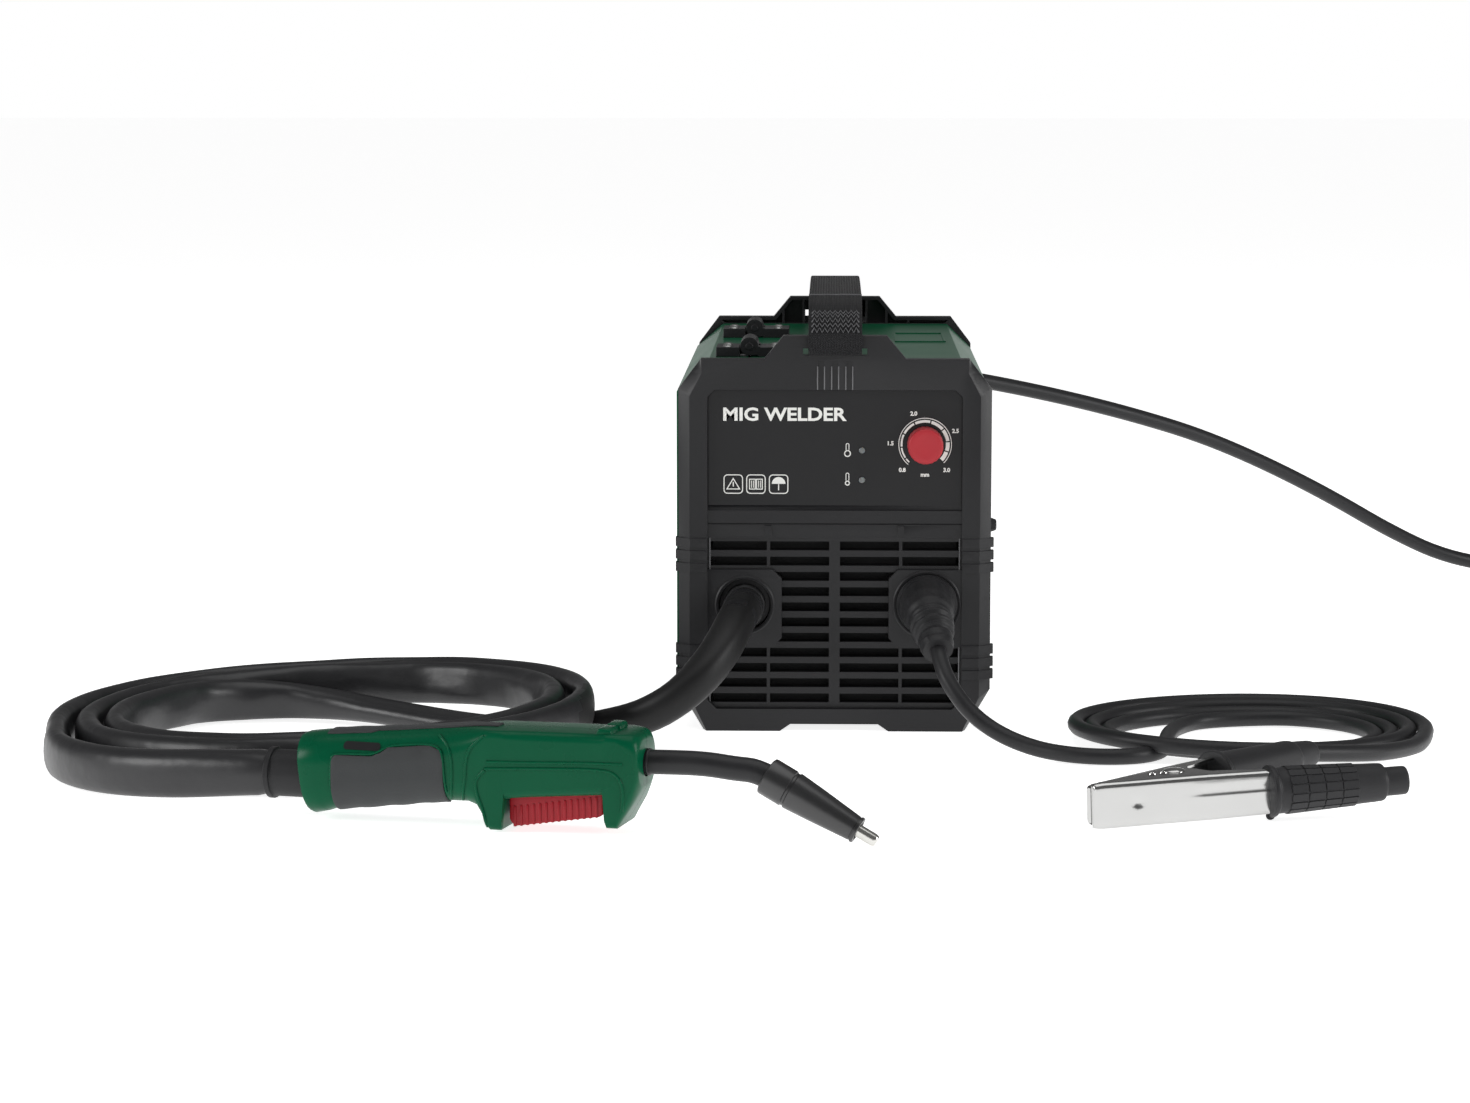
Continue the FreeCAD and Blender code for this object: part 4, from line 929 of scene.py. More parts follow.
def outline_frame(bm, points, width, y):
    """Closed line of a width, drawn inside an outline that runs anticlockwise."""
    spots = [Vector(point) for point in points]
    count = len(spots)
    outer = [bm.verts.new((spot.x, y, spot.y)) for spot in spots]
    inner = []
    for k, spot in enumerate(spots):
        before = (spot - spots[k - 1]).normalized()
        after = (spots[(k + 1) % count] - spot).normalized()
        way = (before + after).normalized()
        reach = width / max(0.4, before.dot(way))
        inner.append(bm.verts.new((spot.x - way.y * reach, y, spot.y + way.x * reach)))
    for k in range(count):
        bm.faces.new((outer[k], outer[(k + 1) % count], inner[(k + 1) % count], inner[k]))


def rounded_box(x0, x1, z0, z1, r, steps=5):
    points = []
    for cx, cz, start in ((x1 - r, z1 - r, 0), (x0 + r, z1 - r, 90), (x0 + r, z0 + r, 180),
                          (x1 - r, z0 + r, 270)):
        points += arc_points(cx, cz, r, start, start + 90, steps)
    return points


def add_text(name, words, x, z, height, y, key="ink", bold=0.0, centred=False, length=None):
    """Raised print from a font curve, made a mesh before it is placed, and drawn out to a length."""
    data = bpy.data.curves.new(name, "FONT")
    data.body = words
    data.size = height / 0.70
    data.offset = bold
    data.extrude = INK / 2
    data.resolution_u = 3
    if centred:
        data.align_x = "CENTER"
    holder = bpy.data.objects.new(name + "_font", data)
    mesh = bpy.data.meshes.new_from_object(holder)
    bpy.data.objects.remove(holder)
    bpy.data.curves.remove(data)
    mesh.name = name
    if length:
        spread = [vert.co.x for vert in mesh.vertices]
        mesh.transform(Matrix.Diagonal((length / (max(spread) - min(spread)), 1, 1, 1)))
    mesh.transform(Matrix.Translation((x, y - INK / 2, z)) @ Matrix.Rotation(math.pi / 2, 4, "X"))
    mesh.materials.clear()
    mesh.materials.append(finish(key))
    return rig(new_object(name, mesh), "machine")


class WELDER_OT_control_print(bpy.types.Operator):
    """Overlay film with its generic print: title, dial scale, lamp signs and use signs"""
    bl_idname = "welder.control_print"
    bl_label = "Control print"

    def execute(self, context):
        soft_copy("control_label", "film", 0.15)
        knob_x, knob_z = 0.050, 0.161
        add_text("title_print", "MIG WELDER", -0.0625, 0.1742, 0.0070, LABEL_Y, bold=0.00028,
                 length=0.0685)
        marks = (("0.8", -0.0126, -0.0142), ("1.5", -0.0193, 0.0006), ("2.0", -0.0064, 0.0172),
                 ("2.5", 0.0168, 0.0076), ("3.0", 0.0120, -0.0142), ("mm", 0.0, -0.0168))
        for words, dx, dz in marks:
            add_text("dial_mark_" + words.replace(".", "_"), words, knob_x + dx,
                     knob_z + dz - 0.0011, 0.0022, LABEL_Y, centred=True, bold=0.00012)
        bm = bmesh.new()
        flat_arc(bm, (knob_x, knob_z), 0.0144, 0.0148, -140, 135, LABEL_Y)
        ticks = [-140, -126, -97, -64, -27, 14, 50, 83, 108, 135]
        for low, high in zip(ticks, ticks[1:]):
            share = (low + 140) / 275
            inner = 0.0128 - 0.0016 * share
            flat_arc(bm, (knob_x, knob_z), inner, 0.0136, low + 1.6, high - 1.6, LABEL_Y)
        raise_ink(bm)
        piece("dial_scale", bm, "ink", "machine")
        self.lamp_signs()
        self.use_signs()
        for node in ("led_lenses",):
            soft_copy(node, "lens", 0.3)
        return {"FINISHED"}

    def lamp_signs(self):
        """Two small bulb-and-stem signs beside the lamps"""
        bm = bmesh.new()
        for z, wide in ((0.1576, 0.0019), (0.1411, 0.0014)):
            x = 0.0070
            flat_arc(bm, (x, z - 0.0018), wide - 0.0006, wide, 0, 360, LABEL_Y)
            for side in (-1, 1):
                flat_outline(bm, [(x + side * 0.0008 - 0.0002, z - 0.0004),
                                  (x + side * 0.0008 + 0.0002, z - 0.0004),
                                  (x + side * 0.0008 + 0.0002, z + 0.0030),
                                  (x + side * 0.0008 - 0.0002, z + 0.0030)], LABEL_Y)
            flat_arc(bm, (x, z + 0.0030), 0.0006, 0.0010, -90, 90, LABEL_Y)
        bmesh.ops.remove_doubles(bm, verts=bm.verts, dist=1e-7)
        raise_ink(bm)
        piece("lamp_signs", bm, "ink", "machine")

    def use_signs(self):
        """Three framed signs: a triangle, an open book and an umbrella"""
        bm = bmesh.new()
        z0, z1 = 0.1332, 0.1440
        for x in (-0.0618, -0.0492, -0.0366):
            outline_frame(bm, rounded_box(x, x + 0.0108, z0, z1, 0.0022), 0.00052, LABEL_Y)
        mid = -0.0618 + 0.0054
        outline_frame(bm, [(mid - 0.0040, z0 + 0.0024), (mid + 0.0040, z0 + 0.0024),
                           (mid, z1 - 0.0018)], 0.00052, LABEL_Y)
        flat_outline(bm, [(mid - 0.0003, z0 + 0.0040), (mid + 0.0003, z0 + 0.0040),
                          (mid + 0.0003, z0 + 0.0066), (mid - 0.0003, z0 + 0.0066)], LABEL_Y)
        mid = -0.0492 + 0.0054
        for side in (-1, 1):
            low, high = sorted((mid + side * 0.0001, mid + side * 0.0038))
            outline_frame(bm, [(low, z0 + 0.0024), (high, z0 + 0.0024), (high, z1 - 0.0024),
                               (low, z1 - 0.0024)], 0.00050, LABEL_Y)
            for line in range(2):
                x = low + 0.0012 + line * 0.0011
                flat_outline(bm, [(x, z0 + 0.0034), (x + 0.0004, z0 + 0.0034),
                                  (x + 0.0004, z1 - 0.0034), (x, z1 - 0.0034)], LABEL_Y)
        mid = -0.0366 + 0.0054
        flat_outline(bm, arc_points(mid, z0 + 0.0056, 0.0038, 0, 180, 12), LABEL_Y)
        flat_outline(bm, [(mid - 0.0003, z0 + 0.0020), (mid + 0.0003, z0 + 0.0020),
                          (mid + 0.0003, z0 + 0.0055), (mid - 0.0003, z0 + 0.0055)], LABEL_Y)
        raise_ink(bm)
        piece("use_signs", bm, "ink", "machine")


class WELDER_OT_knob(bpy.types.Operator):
    """Wire speed knob: dished face, rounded rim and fine side flutes"""
    bl_idname = "welder.knob"
    bl_label = "Knob"

    def execute(self, context):
        low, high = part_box("control_knob")
        x, z = 0.050, 0.161
        front = low.y
        bm = bmesh.new()
        profile = [(0.0, 0.0003), (0.0060, 0.0002), (0.0086, 0.0), (0.0094, 0.0003), (0.0098, 0.0010),
                   (0.0099, 0.0040), (0.0101, 0.0135), (0.0098, 0.0140), (0.0, 0.0140)]
        add_lathe(bm, profile, (x, front, z), (0, 1, 0), 72)
        flutes = [v for v in bm.verts if 0.0095 < math.hypot(v.co.x - x, v.co.z - z)
                  and front + 0.0008 < v.co.y < front + 0.0136]
        for vert in flutes:
            angle = math.atan2(vert.co.z - z, vert.co.x - x)
            pull = 1 - 0.018 * (0.5 + 0.5 * math.cos(angle * 24))
            vert.co.x = x + (vert.co.x - x) * pull
            vert.co.z = z + (vert.co.z - z) * pull
        add_rod(bm, 0.003, 0.003, (x, front + 0.014, z), (x, high.y, z), 24)
        piece("speed_knob", bm, "knob", "knob", ("control_knob",), crease=50)
        return {"FINISHED"}


class WELDER_OT_panel_trim(bpy.types.Operator):
    """Moulded trim of the front panel: groove ribs, vent shadow liner and outlet rim"""
    bl_idname = "welder.panel_trim"
    bl_label = "Panel trim"

    def execute(self, context):
        bm = bmesh.new()
        for column in (-1, 0, 1):
            for side in (-1, 1):
                x = column * 0.0078 + side * 0.0019
                add_box(bm, (x - 0.00035, FRONT_Y - 0.0005, 0.1915), (x + 0.00035, FRONT_Y + 0.0006, 0.2045))
        for side in (-1, 1):
            add_box(bm, (side * 0.0695 - 0.0004, RECESS_Y - 0.0011, 0.0155),
                    (side * 0.0695 + 0.0004, RECESS_Y + 0.0004, 0.1085))
        soften(bm, 0.00025)
        # The groove ribs and the recess edge bars are painted light grey as a painted highlight
        piece("panel_ribs", bm, "painted_highlight_abs", "machine")
        bm = bmesh.new()
        for x, z, r in ((-0.050, 0.071, 0.0145), (0.0515, 0.0715, 0.0170)):
            add_lathe(bm, [(r + 0.0002, 0.0), (r + 0.0022, 0.0), (r + 0.0022, -0.0006),
                           (r + 0.0014, -0.0011), (r + 0.0004, -0.0009), (r + 0.0002, 0.0)],
                      (x, FRONT_Y + 0.0011, z), (0, 1, 0), 64)
        piece("outlet_rims", bm, "black_abs", "machine")
        # Black sheet behind the vent slots: painted shade inside the vents
        bm = bmesh.new()
        add_box(bm, (-0.068, -0.1705, 0.0135), (0.068, -0.1700, 0.1080))
        piece("vent_liner", bm, "dark", "machine")
        return {"FINISHED"}


class WELDER_OT_earth_plug(bpy.types.Operator):
    """Rubber boot of the earth plug: grip flutes, ribbed neck and open end"""
    bl_idname = "welder.earth_plug"
    bl_label = "Earth plug"

    def execute(self, context):
        x, z = 0.0515, 0.0715
        route = [(x, FRONT_Y - 0.0018, z), (x, -0.1885, z), (x + 0.0004, -0.1975, z - 0.0018),
                 (x + 0.0018, -0.2075, z - 0.0062), (x + 0.0036, -0.2165, z - 0.0128),
                 (0.0560, -0.2220, 0.0550)]
        line, total = line_of(route, 0.0007)
        rows = [(0.0, 0.0164), (0.0025, 0.0166), (0.0032, 0.0155), (0.0125, 0.0150),
                (0.0200, 0.0136), (0.0240, 0.0118), (total, 0.0094)]

        def ring(along, point):
            radius = blend_rows(rows, along)[0]
            ribbed = smoothstep((along - 0.024) / 0.002) * smoothstep((total - 0.004 - along) / 0.002)
            radius += 0.0009 * ribbed * math.cos(TAU * (along - 0.024) / 0.0042)
            fluted = smoothstep((along - 0.0035) / 0.002) * smoothstep((0.020 - along) / 0.004)
            corners = []
            for i in range(48):
                angle = TAU * i / 48
                r = radius - 0.0005 * fluted * max(0.0, math.cos(angle * 8)) ** 2
                corners.append((r * math.cos(angle), r * math.sin(angle)))
            return corners

        bm = bmesh.new()
        first, last = sweep(bm, line, ring, capped=False)
        bm.faces.new(first)
        mouth = bm.faces.new(last)
        bmesh.ops.inset_individual(bm, faces=[mouth], thickness=0.0016, depth=0.0)
        bmesh.ops.inset_individual(bm, faces=[mouth], thickness=0.0010, depth=-0.0040)
        add_rod(bm, 0.008, 0.008, (x, FRONT_Y, z), (x, -0.163, z), 32)
        piece("earth_plug_boot", bm, "boot", "machine", ("ground_plug",),
              crease=60)
        return {"FINISHED"}


# ---- Carry strap ----
class WELDER_OT_strap(bpy.types.Operator):
    """Carry strap: one band over the top, looped through each panel and stitched back"""
    bl_idname = "welder.strap"
    bl_label = "Carry strap"

    THICK = 0.0017

    def execute(self, context):
        width = context.scene.welder_sizes.strap_width
        over = [(-0.170, 0.2128), (-0.1795, 0.2126), (-0.1843, 0.2148), (-0.1860, 0.2230),
                (-0.1815, 0.2315), (-0.1660, 0.2370), (-0.1480, 0.2392), (-0.125, 0.2398),
                (-0.060, 0.2407), (0.0, 0.2408), (0.060, 0.2398), (0.125, 0.2366),
                (0.158, 0.2320), (0.178, 0.2265), (0.1850, 0.2200), (0.1850, 0.2130),
                (0.1800, 0.2106), (0.170, 0.2106)]
        flap = [(-0.170, 0.2109), (-0.1815, 0.2107), (-0.1870, 0.2135), (-0.1882, 0.2232),
                (-0.1835, 0.2335), (-0.1690, 0.2393), (-0.1510, 0.2413)]
        rear = [(0.170, 0.2106), (0.1665, 0.2120), (0.1640, 0.2175), (0.1610, 0.2240),
                (0.1540, 0.2290), (0.142, 0.2322), (0.125, 0.2348), (0.098, 0.2364)]
        bm = bmesh.new()
        half = width / 2
        for route in (over, flap, rear):
            line = line_of([(0, y, z) for y, z in route], 0.003)[0]
            sweep(bm, line, lambda along, point: self.band(half), up=(1, 0, 0))
        piece("strap_webbing", bm, "webbing", "machine", ("carry_strap",),
              crease=50)
        self.stitches(line_of([(0, y, z) for y, z in flap], 0.0005)[0], half)
        return {"FINISHED"}

    def band(self, half):
        """Flat band's section: (thickness, width) offsets with rounded selvedges"""
        t = self.THICK / 2
        edge = [(t, half - 0.0006), (t * 0.6, half), (-t * 0.6, half), (-t, half - 0.0006)]
        across = [(-t, half * k / 4) for k in (2, 0, -2)]
        back = [(t, half * k / 4) for k in (-2, 0, 2)]
        return edge + across + [(-a, -b) for a, b in edge[:4]] + back

    def stitches(self, line, half):
        """Zigzag rows that hold the doubled end, and the folded hem at its top"""
        bm = bmesh.new()
        travelled = [0.0]
        for a, b in zip(line, line[1:]):
            travelled.append(travelled[-1] + (b - a).length)

        def at(along, x):
            i = next(k for k, t in enumerate(travelled) if t >= along)
            tangent = (line[min(i + 2, len(line) - 1)] - line[max(i - 2, 0)]).normalized()
            out = Vector((1, 0, 0)).cross(tangent).normalized()
            return line[i] + out * (self.THICK / 2 + 0.0001) + Vector((x, 0, 0))

        for row in range(5):
            start = 0.0268 + row * 0.0028
            path = [at(start + (0.0024 if column % 2 else 0.0), (column / 9 - 1) * (half - 0.0018))
                    for column in range(19)]
            sweep(bm, path, lambda along, point: round_ring(0.00045, 6), up=(0, 1, 0.3))
        hem = [at(travelled[-1] - 0.0008, x * half / 4) for x in range(-4, 5)]
        sweep(bm, hem, lambda along, point: round_ring(0.0006, 8), up=(0, 1, 0.3))
        piece("strap_stitching", bm, "thread", "machine", crease=70)


# ---- Torch, in its own frame: u forwards, v across, w up ----
TRIGGER_HALF = 0.0124
# Sections along the handle: place, low edge, high edge, half width, corner radius, lean
TORCH_SECTIONS = [
    (-0.0084, 0.0050, 0.0405, 0.0150, 0.0150, 0.13), (-0.0076, 0.0034, 0.0422, 0.0166, 0.0150, 0.13),
    (-0.0054, 0.0028, 0.0430, 0.0173, 0.0150, 0.12), (0.0020, 0.0042, 0.0440, 0.0175, 0.0150, 0.08),
    (0.0070, 0.0056, 0.0444, 0.0171, 0.0150, 0.03), (0.0220, 0.0074, 0.0456, 0.0170, 0.0150, 0.0),
    (0.0400, 0.0095, 0.0470, 0.0170, 0.0150, 0.0), (0.0560, 0.0116, 0.0483, 0.0172, 0.0145, 0.0),
    (0.0680, 0.0128, 0.0492, 0.0174, 0.0135, 0.0), (0.0780, 0.0134, 0.0500, 0.0175, 0.0110, 0.0),
    (0.0835, 0.0120, 0.0502, 0.0175, 0.0085, 0.0), (0.0870, 0.0075, 0.0503, 0.0175, 0.0060, 0.0),
    (0.0895, 0.0026, 0.0503, 0.0175, 0.0040, 0.0), (0.0910, 0.0012, 0.0503, 0.0175, 0.0035, 0.0),
    (0.0965, 0.0012, 0.0504, 0.0175, 0.0035, 0.0), (0.0975, 0.0026, 0.0504, 0.0175, 0.0035, 0.0),
    (0.0986, 0.0168, 0.0504, 0.0175, 0.0040, 0.0), (0.1100, 0.0180, 0.0506, 0.0175, 0.0045, 0.0),
    (0.1300, 0.0196, 0.0508, 0.0175, 0.0045, 0.0), (0.1486, 0.0210, 0.0509, 0.0175, 0.0045, 0.0),
    (0.1496, 0.0070, 0.0509, 0.0175, 0.0035, 0.0), (0.1504, 0.0050, 0.0510, 0.0175, 0.0035, 0.0),
    (0.1555, 0.0050, 0.0510, 0.0174, 0.0035, 0.0), (0.1572, 0.0080, 0.0510, 0.0173, 0.0045, 0.0),
    (0.1625, 0.0165, 0.0508, 0.0168, 0.0070, 0.0), (0.1648, 0.0212, 0.0500, 0.0160, 0.0090, 0.0),
    (0.1662, 0.0245, 0.0480, 0.0146, 0.0095, 0.0)]
BAY_END = 0.1488


def torch_section(u):
    return blend_rows(TORCH_SECTIONS, u)


def section_ring(low, high, half, radius, steps=7):
    """Rounded oblong of a section as (v, w) corners, anticlockwise from the right."""
    r = min(radius, (high - low) / 2 - 0.0002, half - 0.0002)
    return rounded_box(-half, half, low, high, r, steps)


def torch_side(u, w):
    """How far out the handle's side is at this place and height."""
    low, high, half, radius, lean = torch_section(u)
    inset = max(0.0, low + radius - w, w - (high - radius))
    inset = min(inset, radius)
    return half - radius + math.sqrt(max(0.0, radius ** 2 - inset ** 2))


def to_torch(bm):
    bmesh.ops.transform(bm, matrix=Matrix.Translation(TORCH_AT) @ TORCH_TURN.to_4x4(), verts=bm.verts)


def carve(obj, cutter):
    """Cut one closed shape out of a piece for good."""
    cut = obj.modifiers.new("cut", "BOOLEAN")
    cut.operation = "DIFFERENCE"
    cut.solver = "EXACT"
    cut.object = cutter
    bpy.context.view_layer.update()
    solid = bpy.data.meshes.new_from_object(obj.evaluated_get(bpy.context.evaluated_depsgraph_get()))
    obj.modifiers.remove(cut)
    obj.data = solid
    bpy.data.objects.remove(cutter)


class WELDER_OT_torch_handle(bpy.types.Operator):
    """Two nylon handle shells, parted down the middle, with bumps, ridges and soft pads"""
    bl_idname = "welder.torch_handle"
    bl_label = "Torch handle"

    def execute(self, context):
        for side, node in ((1, "torch_shell_left"), (-1, "torch_shell_right")):
            self.shell(side, node)
        self.ridges()
        self.pads()
        return {"FINISHED"}

    def body(self):
        bm = bmesh.new()
        before = None
        first = None
        for u, low, high, half, radius, lean in TORCH_SECTIONS:
            ring = []
            for v, w in section_ring(low, high, half, radius):
                ring.append(bm.verts.new((u - lean * (w - 0.022), v, w)))
            edges = [bm.edges.new(pair) for pair in zip(ring, ring[1:] + ring[:1])]
            if before:
                bmesh.ops.bridge_loops(bm, edges=before + edges)
            else:
                first = ring
            before = edges
        bm.faces.new(ring)
        bm.faces.new(first)
        bmesh.ops.recalc_face_normals(bm, faces=bm.faces)
        ends = [f for f in bm.faces if len(f.verts) > 8]
        rims = [e for f in ends for e in f.edges]
        bmesh.ops.bevel(bm, geom=rims, offset=0.0008, offset_type="OFFSET", affect="EDGES",
                        segments=2, profile=0.5, material=-1, clamp_overlap=True)
        return bm

    def shell(self, side, node):
        bm = self.body()
        geometry = bm.verts[:] + bm.edges[:] + bm.faces[:]
        cut = bmesh.ops.bisect_plane(bm, geom=geometry, plane_co=(0, side * 0.00012, 0),
                                     plane_no=(0, -side, 0), clear_outer=True)
        rim = [e for e in cut["geom_cut"] if isinstance(e, bmesh.types.BMEdge)]
        bmesh.ops.holes_fill(bm, edges=rim)
        for u in (0.1105, 0.1272, 0.1442):
            bump = bmesh.new()
            low = (u - 0.0004, side * 0.0014, 0.0480)
            high = (u + 0.0094, side * 0.0140, 0.0534)
            add_box(bump, [min(a, b) for a, b in zip(low, high)],
                    [max(a, b) for a, b in zip(low, high)])
            for vert in bump.verts:
                if vert.co.z > 0.052:
                    vert.co.x += 0.0016 if vert.co.x < u + 0.004 else -0.0016
            soften(bump, 0.0011, segments=3)
            absorb(bm, bump)
        to_torch(bm)
        obj = piece(node + "_moulded", bm, "torch_green", "machine", (node,), crease=38)
        for shape in self.hollows():
            carve(obj, shape)
        mesh = obj.data
        mesh.shade_smooth()
        mesh.set_sharp_from_angle(angle=math.radians(38))
        edge = obj.modifiers.new("rounded edges", "BEVEL")
        edge.width = 0.0005
        edge.segments = 2
        edge.limit_method = "ANGLE"
        edge.angle_limit = math.radians(50)
        edge.harden_normals = True

    def hollows(self):
        """Trigger bay, rear socket and neck bore"""
        shapes = []
        for kind in ("bay", "rear", "front"):
            bm = bmesh.new()
            if kind == "bay":
                add_box(bm, (0.0986, -TRIGGER_HALF - 0.0004, -0.002),
                        (BAY_END, TRIGGER_HALF + 0.0004, 0.030))
            elif kind == "rear":
                add_rod(bm, 0.0118, 0.0118, (-0.022, 0, 0.0212), (0.001, 0, 0.0212), 40)
            else:
                add_rod(bm, 0.0063, 0.0069, (0.110, 0, 0.0352), (0.170, 0, 0.0356), 32)
            to_torch(bm)
            mesh = bpy.data.meshes.new("hollow")
            bm.to_mesh(mesh)
            bm.free()
            shapes.append(new_object("hollow", mesh))
        return shapes

    def ridges(self):
        """Raised lines moulded into both sides"""
        lines = [[(0.0700, 0.0150), (0.0722, 0.0210), (0.0722, 0.0360), (0.0700, 0.0425),
                  (0.0640, 0.0462)],
                 [(0.0762, 0.0150), (0.0790, 0.0230), (0.0792, 0.0350), (0.0820, 0.0430),
                  (0.0885, 0.0478)],
                 [(0.0900, 0.0030), (0.0880, 0.0120), (0.0846, 0.0200), (0.0842, 0.0270),
                  (0.0890, 0.0310)],
                 [(0.0890, 0.0318), (0.1050, 0.0326), (0.1250, 0.0334), (0.1450, 0.0342),
                  (0.1560, 0.0330), (0.1600, 0.0240), (0.1585, 0.0140)],
                 [(0.0900, 0.0352), (0.1050, 0.0356), (0.1250, 0.0364), (0.1450, 0.0372),
                  (0.1590, 0.0372)]]
        bm = bmesh.new()
        for side in (1, -1):
            for route in lines:
                line = line_of([(u, 0, w) for u, w in route], 0.0015)[0]
                spots = [Vector((p.x, side * (torch_side(p.x, p.z) - 0.0001), p.z)) for p in line]
                sweep(bm, spots, lambda along, point: round_ring(0.0008, 8), up=(0, 1, 0))
        to_torch(bm)
        piece("torch_ridges", bm, "torch_green", "machine", crease=60)

    def pads(self):
        """Soft pads moulded round each side and along the back"""
        outline = [(0.0092, 0.0325), (0.0106, 0.0348), (0.0300, 0.0350), (0.0345, 0.0368),
                   (0.0390, 0.0398), (0.0600, 0.0416), (0.0658, 0.0400), (0.0678, 0.0360)]
        bm = bmesh.new()
        columns, rows = 30, 16
        for side in (1, -1):
            grid = bmesh.ops.create_grid(bm, x_segments=columns, y_segments=rows, size=0.5)["verts"]
            for vert in grid:
                u = 0.0092 + (vert.co.x + 0.5) * 0.0586
                high = blend_rows(outline, u)[0]
                low, top, half, radius, lean = torch_section(u)
                share = vert.co.y + 0.5
                flat = max(0.0, high - (low + radius))
                arc = radius * math.radians(84)
                run = share * (flat + arc)
                if run < arc:
                    angle = math.radians(84) * (1 - run / arc)
                    v = half - radius + radius * math.cos(angle)
                    w = low + radius - radius * math.sin(angle)
                    out = Vector((0, math.cos(angle), -math.sin(angle)))
                else:
                    w = low + radius + run - arc
                    v = torch_side(u, w)
                    out = Vector((0, 1, 0))
                vert.co = Vector((u, v, w)) + out * 0.0009
                vert.co.y *= side
        top = bmesh.ops.create_grid(bm, x_segments=30, y_segments=8, size=0.5)["verts"]
        for vert in top:
            u = 0.004 + (vert.co.x + 0.5) * 0.088
            low, high, half, radius, lean = torch_section(u)
            reach = (0.0078 if u < 0.030 else 0.0060) * (1 - 0.3 * smoothstep((u - 0.07) / 0.02))
            v = vert.co.y * 2 * reach
            drop = max(0.0, abs(v) - (half - radius))
            w = high - radius + math.sqrt(radius ** 2 - drop ** 2)
            vert.co = (u, v, w + 0.0008)
        bmesh.ops.recalc_face_normals(bm, faces=bm.faces)
        for face in bm.faces:
            middle = face.calc_center_median()
            if face.normal.dot(Vector((0, middle.y, middle.z - 0.028))) < 0:
                face.normal_flip()
        bmesh.ops.solidify(bm, geom=bm.faces[:], thickness=0.0016)
        bmesh.ops.recalc_face_normals(bm, faces=bm.faces)
        soften(bm, 0.00045, degrees=50)
        to_torch(bm)
        piece("torch_pads", bm, "grip", "machine", ("torch_grip",), crease=60)
        self.rims(outline)

    def rims(self, outline):
        """Green lip round each side pad, and the blank rating plate above it"""
        bm = bmesh.new()
        top = [(u, w + 0.0006) for u, w in outline]
        route = [(0.0088, 0.0180)] + top + [(0.0688, 0.0190)]
        line = line_of([(u, 0, w) for u, w in route], 0.0012)[0]
        for side in (1, -1):
            spots = [Vector((p.x, side * (torch_side(p.x, p.z) + 0.0003), p.z)) for p in line]
            sweep(bm, spots, lambda along, point: round_ring(0.0006, 8), up=(0, 1, 0))
        to_torch(bm)
        piece("torch_pad_rims", bm, "torch_green", "machine", crease=60)
        bm = bmesh.new()
        corners = rounded_box(0.0150, 0.0345, 0.0375, 0.0412, 0.0016)
        for side in (1, -1):
            bm.faces.new([bm.verts.new((u, side * (torch_side(u, w) + 0.0002), w))
                          for u, w in corners])
        bmesh.ops.solidify(bm, geom=bm.faces[:], thickness=0.0006)
        to_torch(bm)
        piece("torch_plates", bm, "film", "machine", crease=30)


class WELDER_OT_torch_trigger(bpy.types.Operator):
    """Ribbed red trigger on its pin"""
    bl_idname = "welder.torch_trigger"
    bl_label = "Torch trigger"

    def execute(self, context):
        bm = bmesh.new()
        side = [(0.0997, 0.0238), (0.0997, 0.0064), (0.1010, 0.0040), (0.1040, 0.0032),
                (0.1460, 0.0097), (0.1478, 0.0116), (0.1476, 0.0254), (0.1410, 0.0254)]
        verts = [bm.verts.new((u, -TRIGGER_HALF + 0.0005, w)) for u, w in side]
        face = bm.faces.new(verts)
        grown = bmesh.ops.extrude_face_region(bm, geom=[face])
        fresh = [v for v in grown["geom"] if isinstance(v, bmesh.types.BMVert)]
        bmesh.ops.translate(bm, vec=(0, 2 * TRIGGER_HALF - 0.001, 0), verts=fresh)
        bmesh.ops.recalc_face_normals(bm, faces=bm.faces)
        soften(bm, 0.0011, segments=3)
        for i in range(14):
            u = 0.1026 + i * 0.0032
            low = 0.0030 + (u - 0.104) * 0.156
            rib = bmesh.new()
            add_box(rib, (u - 0.00085, -TRIGGER_HALF, low), (u + 0.00085, TRIGGER_HALF, low + 0.0105))
            soften(rib, 0.0006, segments=2)
            absorb(bm, rib)
        to_torch(bm)
        piece("trigger_ribbed", bm, "trigger", "trigger", ("torch_trigger",))
        return {"FINISHED"}


NOZZLE_AT = Vector((0.226, 0, 0.0323))
NOZZLE_AXIS = Vector((math.cos(math.radians(-28.5)), 0, math.sin(math.radians(-28.5))))
NOZZLE_L = 0.052


